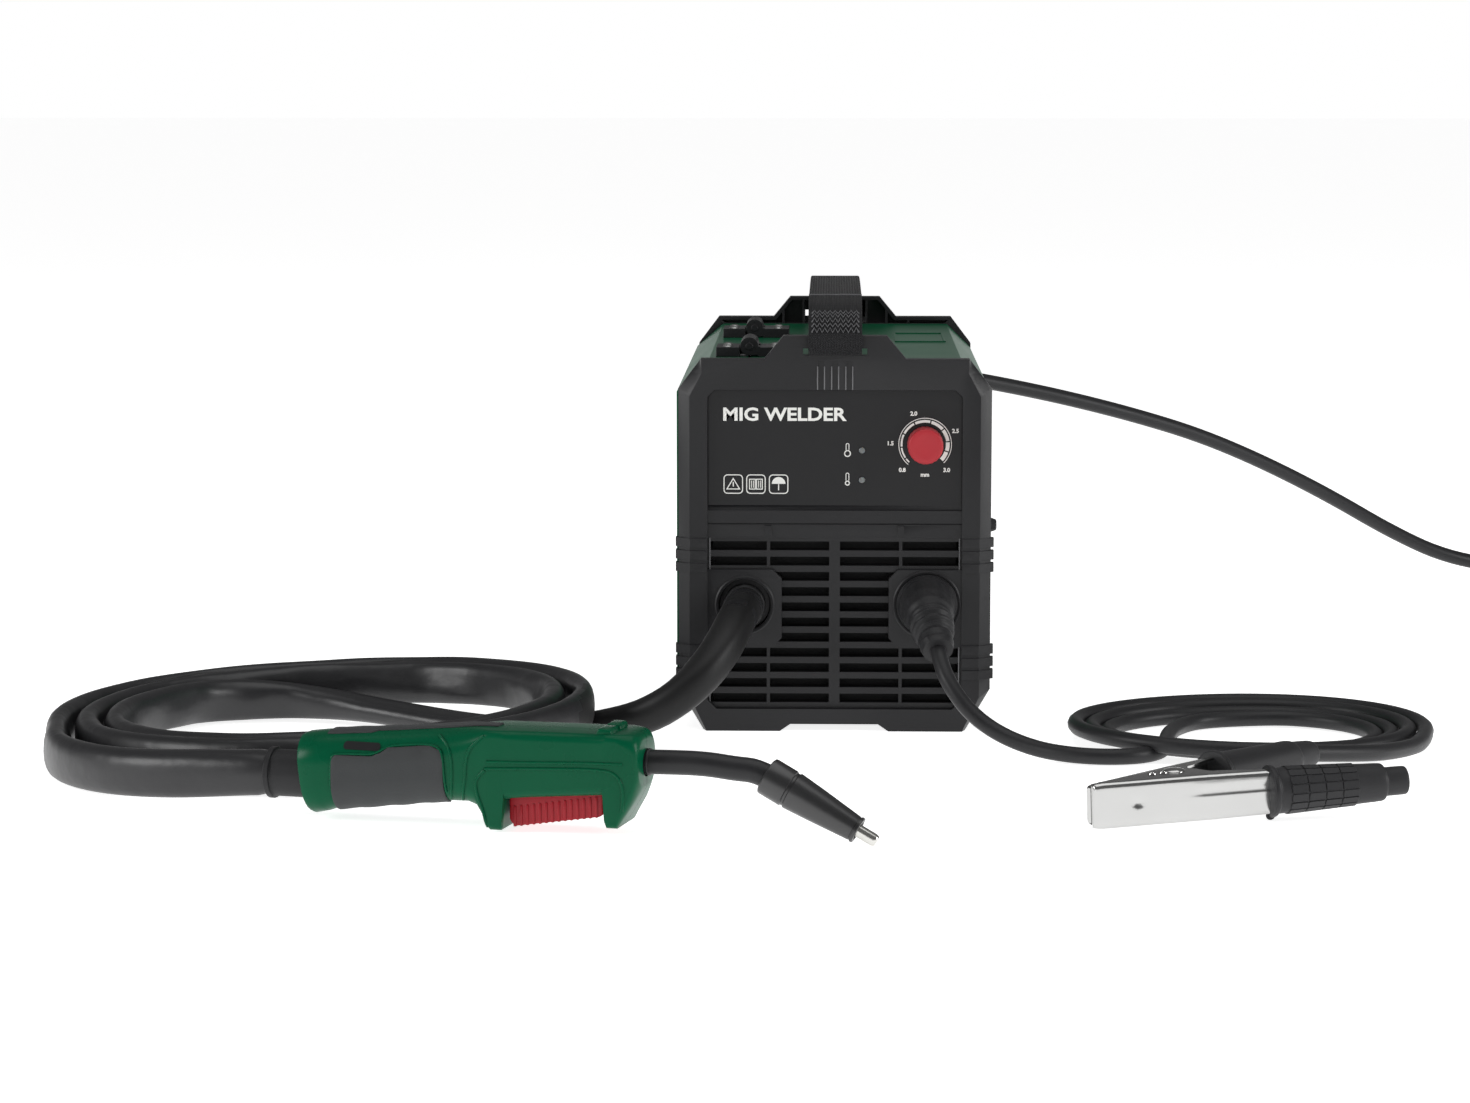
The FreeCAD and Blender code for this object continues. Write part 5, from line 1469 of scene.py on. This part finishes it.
class WELDER_OT_torch_neck(bpy.types.Operator):
    """Bent neck, turned nozzle and contact tip"""
    bl_idname = "welder.torch_neck"
    bl_label = "Torch neck"

    def execute(self, context):
        def along(distance):
            return NOZZLE_AT + NOZZLE_AXIS * distance

        route = [(0.122, 0, 0.0352), (0.150, 0, 0.0352), (0.176, 0, 0.0362), (0.196, 0, 0.0364),
                 (0.211, 0, 0.0346), tuple(along(-0.004)), tuple(along(0.008))]
        line, total = line_of(route, 0.003)
        bm = bmesh.new()
        sweep(bm, line, lambda run, point: round_ring(0.0060, 32))
        for at in (0.0440, 0.0462):
            spot = line[round(at / total * (len(line) - 1))]
            add_lathe(bm, [(0.0058, -0.0008), (0.0066, -0.0006), (0.0068, 0.0), (0.0066, 0.0006),
                           (0.0058, 0.0008)], spot, (1, 0, 0.02), 32)
        to_torch(bm)
        piece("torch_neck_tube", bm, "neck", "machine", ("swan_neck",))
        axis = TORCH_TURN @ NOZZLE_AXIS
        start = tilted(NOZZLE_AT, TORCH_AT, TORCH_TURN)
        bm = bmesh.new()
        end = NOZZLE_L
        profile = [(0.0060, 0.0004), (0.0082, 0.0), (0.0092, 0.0006), (0.0094, 0.0016),
                   (0.0094, 0.0126), (0.0088, 0.0131), (0.0088, 0.0142), (0.0094, 0.0147),
                   (0.0093, 0.0162), (0.0084, 0.0280), (0.0069, 0.0440), (0.0064, end - 0.0024),
                   (0.0062, end - 0.0022), (0.0062, end - 0.0018), (0.0067, end - 0.0015),
                   (0.0067, end - 0.0003), (0.0064, end), (0.0050, end), (0.0046, end - 0.0005),
                   (0.0046, 0.0200), (0.0060, 0.0080), (0.0060, 0.0004)]
        add_lathe(bm, profile, start, axis, 64)
        piece("gas_nozzle_turned", bm, "nozzle", "machine", ("gas_nozzle",))
        bm = bmesh.new()
        tip = NOZZLE_L + 0.0102
        profile = [(0.0006, 0.0082), (0.0045, 0.0082), (0.0045, 0.0200), (0.0032, 0.0206),
                   (0.0032, tip - 0.0016), (0.0030, tip - 0.0007), (0.0024, tip), (0.0011, tip),
                   (0.0006, tip - 0.0006), (0.0006, 0.0082)]
        add_lathe(bm, profile, start, axis, 40)
        piece("contact_tip_turned", bm, "tip", "machine", ("contact_tip",))
        return {"FINISHED"}


# ---- Earth clamp, in its own frame: u along the near jaw, v across, w along the pivot ----
MIRROR_TURN = math.radians(15.0)
JAW_V = -0.0171
SHEET = 0.0012


def across_bisector(point):
    """A near-side point mirrored into the far side of the clamp."""
    u, v, w = point
    c, s = math.cos(2 * MIRROR_TURN), math.sin(2 * MIRROR_TURN)
    return Vector((u * c + v * s, u * s - v * c, w))


def clamp_far_point(u, v, w):
    return tilted(across_bisector((u, v, w)), CLAMP_AT, CLAMP_TURN)


def to_clamp(bm, far=False):
    if far:
        for vert in bm.verts:
            vert.co = across_bisector(vert.co)
    bmesh.ops.transform(bm, matrix=Matrix.Translation(CLAMP_AT) @ CLAMP_TURN.to_4x4(), verts=bm.verts)
    bmesh.ops.recalc_face_normals(bm, faces=bm.faces)


class WELDER_OT_clamp_jaws(bpy.types.Operator):
    """Pressed jaws: a web with rolled edges, two cheeks, a turned tip, a dimple and stiffening ribs"""
    bl_idname = "welder.clamp_jaws"
    bl_label = "Clamp jaws"

    BEND = 0.0026
    # Along the jaw: place, half height of the web, depth of the cheeks
    STATIONS = [(-0.0440, 0.0114, 0.0038), (-0.0420, 0.0115, 0.0052), (-0.0330, 0.0115, 0.0079),
                (-0.0200, 0.0115, 0.0112), (-0.0150, 0.0115, 0.0150), (-0.0100, 0.0115, 0.0205),
                (-0.0060, 0.0115, 0.0229), (0.0060, 0.0115, 0.0229), (0.0100, 0.0115, 0.0205),
                (0.0130, 0.0115, 0.0150), (0.0170, 0.0114, 0.0102), (0.0440, 0.0111, 0.0052)]

    def execute(self, context):
        for node, body, scale, far in (("clamp_jaw_front", "clamp_half", 1.0, False),
                                       ("clamp_jaw_rear", "machine", 0.885, True)):
            bm = self.channel(scale)
            to_clamp(bm, far)
            piece(node + "_pressed", bm, "nickel", body, (node,), crease=50)
        return {"FINISHED"}

    def section(self, u, scale):
        half, depth = blend_rows(self.STATIONS, u)
        half *= scale
        r = self.BEND
        points = [(JAW_V + r + (depth - r) * (1 - k / 5), half) for k in range(5)]
        points += [(JAW_V + r - r * math.sin(a), half - r + r * math.cos(a))
                   for a in (math.radians(90 * k / 4) for k in range(5))]
        flat = half - r
        points += [(JAW_V, flat * (1 - k / 6)) for k in range(1, 7)]
        return points + [(v, -w) for v, w in reversed(points[:-1])]

    def channel(self, scale):
        bm = bmesh.new()
        stations = []
        r = self.BEND
        for k in range(5):
            angle = math.radians(90 - 90 * k / 4)
            stations.append((-0.0470 + r - r * math.sin(angle) * 1.0, r - r * math.cos(angle), k))
        count = 46
        stations += [(-0.0440 + 0.0880 * i / count, 0.0, 9) for i in range(1, count + 1)]
        before = None
        for u, set_in, k in stations:
            section = self.section(max(u, -0.0440), scale)
            row = []
            for v, w in section:
                if k < 9:
                    v = min(v + set_in, JAW_V + 0.0044)
                    w *= 0.94 + 0.012 * k
                bump = self.relief(u, v, w)
                row.append(bm.verts.new((u, v + bump, w)))
            if before:
                for a, b, c, d in zip(before, before[1:], row[1:], row):
                    bm.faces.new((a, b, c, d))
            before = row
        bmesh.ops.recalc_face_normals(bm, faces=bm.faces)
        middle = min(bm.faces, key=lambda f: (f.calc_center_median() - Vector((0.02, JAW_V, 0))).length)
        if middle.normal.y > 0:
            bmesh.ops.reverse_faces(bm, faces=bm.faces)
        bmesh.ops.solidify(bm, geom=bm.faces[:], thickness=SHEET)
        add_box(bm, (-0.0470, JAW_V + 0.0022, -0.0098 * scale), (-0.0458, JAW_V + 0.0042, 0.0098 * scale))
        for tooth in range(7):
            w = (-0.0084 + tooth * 0.0028) * scale
            add_box(bm, (-0.0466, JAW_V + 0.0030, w - 0.0008), (-0.0380, JAW_V + 0.0052, w + 0.0008))
        soften(bm, 0.00025, degrees=70)
        return bm

    def relief(self, u, v, w):
        """Press marks on the web: a round dimple, two long ribs and a short one"""
        if v > JAW_V + 0.0003:
            return 0.0
        mark = 0.0014 * math.exp(-((u + 0.0245) ** 2 + (w - 0.0005) ** 2) / (2 * 0.0013 ** 2))
        inside = smoothstep((u + 0.004) / 0.016)
        for rib_w, depth in ((0.0062, -0.00028), (0.0030, 0.00035), (0.0004, -0.00030)):
            mark += depth * inside * math.exp(-((w - rib_w) ** 2) / (2 * 0.0008 ** 2))
        return mark


class WELDER_OT_clamp_pivot(bpy.types.Operator):
    """Domed rivet, its washers and the spring"""
    bl_idname = "welder.clamp_pivot"
    bl_label = "Clamp pivot"

    def execute(self, context):
        bm = bmesh.new()
        dome = [(0.0, 0.00295), (0.0018, 0.00285), (0.0036, 0.0024), (0.0050, 0.0014), (0.0054, 0.0004),
                (0.0054, 0.0), (0.0, 0.0)]
        for end in (1, -1):
            flat = [(r, along * (0.48 if end > 0 else 0.45)) for r, along in dome]
            add_lathe(bm, flat, (0, 0, end * 0.0115), (0, 0, end), 40)
        add_rod(bm, 0.003, 0.003, (0, 0, -0.0118), (0, 0, 0.0118), 24)
        for at in ((-0.0125, 0.0022), (-0.0065, 0.0035)):
            add_lathe(bm, [(0.0008, 0.0), (0.0022, 0.0), (0.0020, 0.0006), (0.0010, 0.0006),
                           (0.0008, 0.0)], (at[0], at[1] - 0.006, 0.01148), (0, 0, 1), 20)
        to_clamp(bm)
        piece("clamp_rivet", bm, "nickel", "clamp_half", ("clamp_pivot",))
        bm = bmesh.new()
        turns = [(0.0049 * math.cos(TAU * i / 20), 0.0049 * math.sin(TAU * i / 20),
                  -0.0065 + 0.013 * i / 180) for i in range(181)]
        sweep(bm, [Vector(p) for p in turns], lambda along, point: round_ring(0.00065, 6))
        for wire in ([(0.0049, 0.0005, 0.0060), (0.006, -0.004, 0.0062), (0.0135, -0.0049, 0.0062)],
                     [(0.0049, -0.0005, -0.0060), (0.007, 0.003, -0.0062), (0.0145, 0.0093, -0.0062)]):
            sweep(bm, line_of(wire, 0.001)[0], lambda along, point: round_ring(0.00065, 6))
        to_clamp(bm)
        piece("clamp_spring_wound", bm, "spring", "machine", ("clamp_spring",))
        return {"FINISHED"}


class WELDER_OT_clamp_grips(bpy.types.Operator):
    """Dipped grips: a flange, a field of raised pads, and a hollow stub or the cable's sleeve"""
    bl_idname = "welder.clamp_grips"
    bl_label = "Clamp grips"

    def execute(self, context):
        for node, body, far in (("clamp_grip_front", "clamp_half", False),
                                ("clamp_grip_rear", "machine", True)):
            bm = bmesh.new()
            self.grip(bm, far)
            to_clamp(bm, far)
            bmesh.ops.recalc_face_normals(bm, faces=bm.faces)
            obj = piece(node + "_dipped", bm, "clamp_grip", body, (node,), crease=55)
            smooth = obj.modifiers.new("smooth", "SUBSURF")
            smooth.levels = 2
            smooth.render_levels = 2
        return {"FINISHED"}

    def grip(self, bm, far):
        v = JAW_V + 0.0045
        start = 0.044
        flange = [(0.0100, -0.0004), (0.0132, 0.0), (0.0134, 0.0006), (0.0134, 0.0022), (0.0130, 0.0030),
                  (0.0119, 0.0034), (0.0118, 0.0040)]
        pads = [(0.01165, 0.0085), (0.01130, 0.0175), (0.01095, 0.0265), (0.01060, 0.0355),
                (0.01028, 0.0445)]
        if far:
            tail = [(0.0100, 0.0520), (0.0097, 0.0590), (0.0092, 0.0602), (0.0086, 0.0610),
                    (0.0078, 0.0690), (0.0070, 0.0768), (0.0060, 0.0772), (0.0040, 0.0772), (0.0, 0.0772)]
        else:
            tail = [(0.0100, 0.0520), (0.0098, 0.0590), (0.0092, 0.0600), (0.0074, 0.0602),
                    (0.0074, 0.0612), (0.0074, 0.0712), (0.0071, 0.0720), (0.0058, 0.0720),
                    (0.0054, 0.0716), (0.0054, 0.0640), (0.0, 0.0638)]
        profile = [(0.0, -0.0004)] + flange + pads + tail
        body = bmesh.new()
        add_lathe(body, profile, (start, v, 0), (1, 0, 0), 16)
        bmesh.ops.recalc_face_normals(body, faces=body.faces)
        if not far:
            rows = [f for f in body.faces
                    if start + 0.008 < f.calc_center_median().x < start + 0.045
                    and abs(f.calc_center_median().y - v) > 0.0015]
            bmesh.ops.inset_individual(body, faces=rows, thickness=0.00030, depth=0.0)
            bmesh.ops.inset_individual(body, faces=rows, thickness=0.00008, depth=0.00055)
            crisp = body.edges.layers.float.new("crease_edge")
            for face in rows:
                for edge in face.edges:
                    edge[crisp] = 0.9
                    for beside in edge.link_faces:
                        for other in beside.edges:
                            other[crisp] = max(other[crisp], 0.75)
        absorb(bm, body)
        if not far:
            eye = bmesh.new()
            ring = [(0.0006 + 0.0010 * math.cos(TAU * k / 8) + 0.0010, 0.0009 * math.sin(TAU * k / 8))
                    for k in range(9)]
            add_lathe(eye, ring, (start + 0.0012, v, -0.0121), (0, 1, 0), 16)
            absorb(bm, eye)


# ---- Mains plug and gland ----
class WELDER_OT_mains_plug(bpy.types.Operator):
    """Moulded mains plug with its ribbed tail, pins and the cord's strain relief"""
    bl_idname = "welder.mains_plug"
    bl_label = "Mains plug"

    def execute(self, context):
        x, y, z = MAINS_EXIT[-1]
        bm = bmesh.new()
        tail = [(0.0, -0.0005), (0.0050, -0.0005), (0.0062, 0.0)]
        for rib in range(5):
            at = 0.0016 + rib * 0.0034
            tail += [(0.0066 + rib * 0.0004, at), (0.0066 + rib * 0.0004, at + 0.0018),
                     (0.0057 + rib * 0.0004, at + 0.0021), (0.0057 + rib * 0.0004, at + 0.0031)]
        body = [(0.0090, 0.0188), (0.0126, 0.0200), (0.0150, 0.0250), (0.0170, 0.0330), (0.0182, 0.0410),
                (0.0184, 0.0440), (0.0184, 0.0492), (0.0180, 0.0499), (0.0, 0.0500)]
        add_lathe(bm, tail + body, (x, y, z), (0, -1, 0), 56)
        for vert in bm.verts:
            run = y - vert.co.y
            squeeze = 1 - 0.18 * smoothstep((run - 0.020) / 0.008) * smoothstep((0.046 - run) / 0.010)
            vert.co.z = z + (vert.co.z - z) * squeeze
        piece("mains_plug_body", bm, "boot", "machine", ("mains_plug",))
        bm = bmesh.new()
        for side in (-1, 1):
            add_lathe(bm, [(0.0, 0.0), (0.0024, 0.0), (0.0024, 0.0178), (0.0019, 0.0188), (0.0, 0.0190)],
                      (x + side * 0.0095, y - 0.0500, z), (0, -1, 0), 24)
        piece("mains_plug_pins", bm, "brass", "machine")
        bm = bmesh.new()
        gx, gy, gz = MAINS_LEAD[0]
        profile = [(0.0088, -0.0150)]
        for rib in range(4):
            at = -0.0146 + rib * 0.0034
            r = 0.0086 - rib * 0.0005
            profile += [(r, at), (r, at + 0.0018), (r - 0.0011, at + 0.0021), (r - 0.0011, at + 0.0031)]
        profile += [(0.0064, -0.0006), (0.0060, 0.0), (0.0045, 0.0), (0.0045, -0.0150), (0.0088, -0.0150)]
        add_lathe(bm, profile, (gx, gy, gz), (0, 1, 0), 40)
        piece("mains_gland_sleeve", bm, "boot", "machine")
        return {"FINISHED"}


# ---- Inside ----
class WELDER_OT_wire_feed(bpy.types.Operator):
    """Spool, wound wire, feeder, rolls and partition"""
    bl_idname = "welder.wire_feed"
    bl_label = "Wire feed"

    def execute(self, context):
        for node, key, width in (("partition", "black_coat", 0.3), ("spool_spindle", "white_nylon", 0.5),
                                 ("wire_spool", "spool", 0.6), ("spool_nut", "trigger", 0.8),
                                 ("feeder_base", "black_nylon", 0.5), ("feed_motor", "zinc", 0.5),
                                 ("drive_roll", "zinc", 0.3), ("pressure_arm", "black_nylon", 0.5),
                                 ("pressure_roller", "zinc", 0.4)):
            soft_copy(node, key, width)
        repaint("weld_wire", "weld_wire")
        self.winding()
        self.tension_knob()
        return {"FINISHED"}

    def winding(self):
        """Wound wire: one layer of rounded turns over a solid core"""
        low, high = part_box("wire_winding")
        y, z = (low.y + high.y) / 2, (low.z + high.z) / 2
        outer = (high.y - low.y) / 2
        pitch = 0.0016
        turns = int((high.x - low.x) / pitch)
        profile = [(0.0221, 0.0001)]
        for turn in range(turns):
            start = 0.0001 + turn * pitch
            for k in range(5):
                angle = math.pi * k / 4
                profile.append((outer - 0.0008 + 0.0007 * math.sin(angle),
                                start + pitch / 2 - (pitch / 2 - 0.00005) * math.cos(angle)))
        profile += [(0.0221, profile[-1][1]), (0.0221, 0.0001)]
        bm = bmesh.new()
        add_lathe(bm, profile, (low.x, y, z), (1, 0, 0), 56)
        piece("wire_winding_turns", bm, "weld_wire", "spool", ("wire_winding",))

    def tension_knob(self):
        """Knurled tension knob"""
        low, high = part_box("tension_knob")
        x, y = (low.x + high.x) / 2, (low.y + high.y) / 2
        height = high.z - low.z
        profile = [(0.00206, 0.0), (0.0060, 0.0), (0.0064, 0.0005), (0.0070, height * 0.45),
                   (0.0078, height * 0.55), (0.0079, height - 0.0008), (0.0073, height), (0.00206, height),
                   (0.00206, 0.0)]
        bm = bmesh.new()
        add_lathe(bm, profile, (x, y, low.z), (0, 0, 1), 64)
        for vert in bm.verts:
            if vert.co.z > low.z + height * 0.5 and math.hypot(vert.co.x - x, vert.co.y - y) > 0.007:
                pull = 1 - 0.05 * (0.5 + 0.5 * math.cos(math.atan2(vert.co.y - y, vert.co.x - x) * 16))
                vert.co.x = x + (vert.co.x - x) * pull
                vert.co.y = y + (vert.co.y - y) * pull
        piece("tension_knob_knurled", bm, "black_nylon", "tension",
              ("tension_knob",))


class WELDER_OT_power_unit(bpy.types.Operator):
    """Board, heat sink, transformer, knob's potentiometer and fan"""
    bl_idname = "welder.power_unit"
    bl_label = "Power unit"

    def execute(self, context):
        for node, key, width in (("inverter_board", "board", 0.3), ("heatsink", "aluminium", 0.2),
                                 ("transformer", "iron", 0.6), ("pot_body", "zinc", 0.3),
                                 ("fan_frame", "black_nylon", 0.6), ("fan_rotor", "black_nylon", 0.3)):
            soft_copy(node, key, width)
        return {"FINISHED"}


class WELDER_PT_pieces(bpy.types.Panel):
    """The machine's pieces in the order in which they are made"""
    bl_idname = "WELDER_PT_pieces"
    bl_label = "MIG welding machine"
    bl_space_type = "VIEW_3D"
    bl_region_type = "UI"
    bl_category = "Welder"

    def draw(self, context):
        layout = self.layout
        for settings in (context.scene.welder_sizes, context.scene.welder_colours):
            for key in settings.__annotations__:
                layout.prop(settings, key)
        for operator in OPERATORS:
            layout.operator(operator.bl_idname)


OPERATORS = (WELDER_OT_stage, WELDER_OT_housing, WELDER_OT_earth_plug, WELDER_OT_clamp_grips,
             WELDER_OT_mains_plug, WELDER_OT_torch_hose, WELDER_OT_earth_cable,
             WELDER_OT_mains_cord, WELDER_OT_roof_emboss, WELDER_OT_control_print, WELDER_OT_knob,
             WELDER_OT_panel_trim, WELDER_OT_strap, WELDER_OT_torch_handle,
             WELDER_OT_torch_trigger, WELDER_OT_torch_neck, WELDER_OT_clamp_jaws,
             WELDER_OT_clamp_pivot, WELDER_OT_wire_feed, WELDER_OT_power_unit)
SETTINGS = (WelderColours, WelderSizes)


def register():
    for item in SETTINGS + OPERATORS + (WELDER_PT_pieces,):
        bpy.utils.register_class(item)
    bpy.types.Scene.welder_colours = bpy.props.PointerProperty(type=WelderColours)
    bpy.types.Scene.welder_sizes = bpy.props.PointerProperty(type=WelderSizes)


def unregister():
    del bpy.types.Scene.welder_sizes
    del bpy.types.Scene.welder_colours
    for item in reversed(SETTINGS + OPERATORS + (WELDER_PT_pieces,)):
        bpy.utils.unregister_class(item)


def main():
    register()
    for operator in OPERATORS:
        group, name = operator.bl_idname.split(".")
        getattr(getattr(bpy.ops, group), name)()


if __name__ == "__main__":
    main()
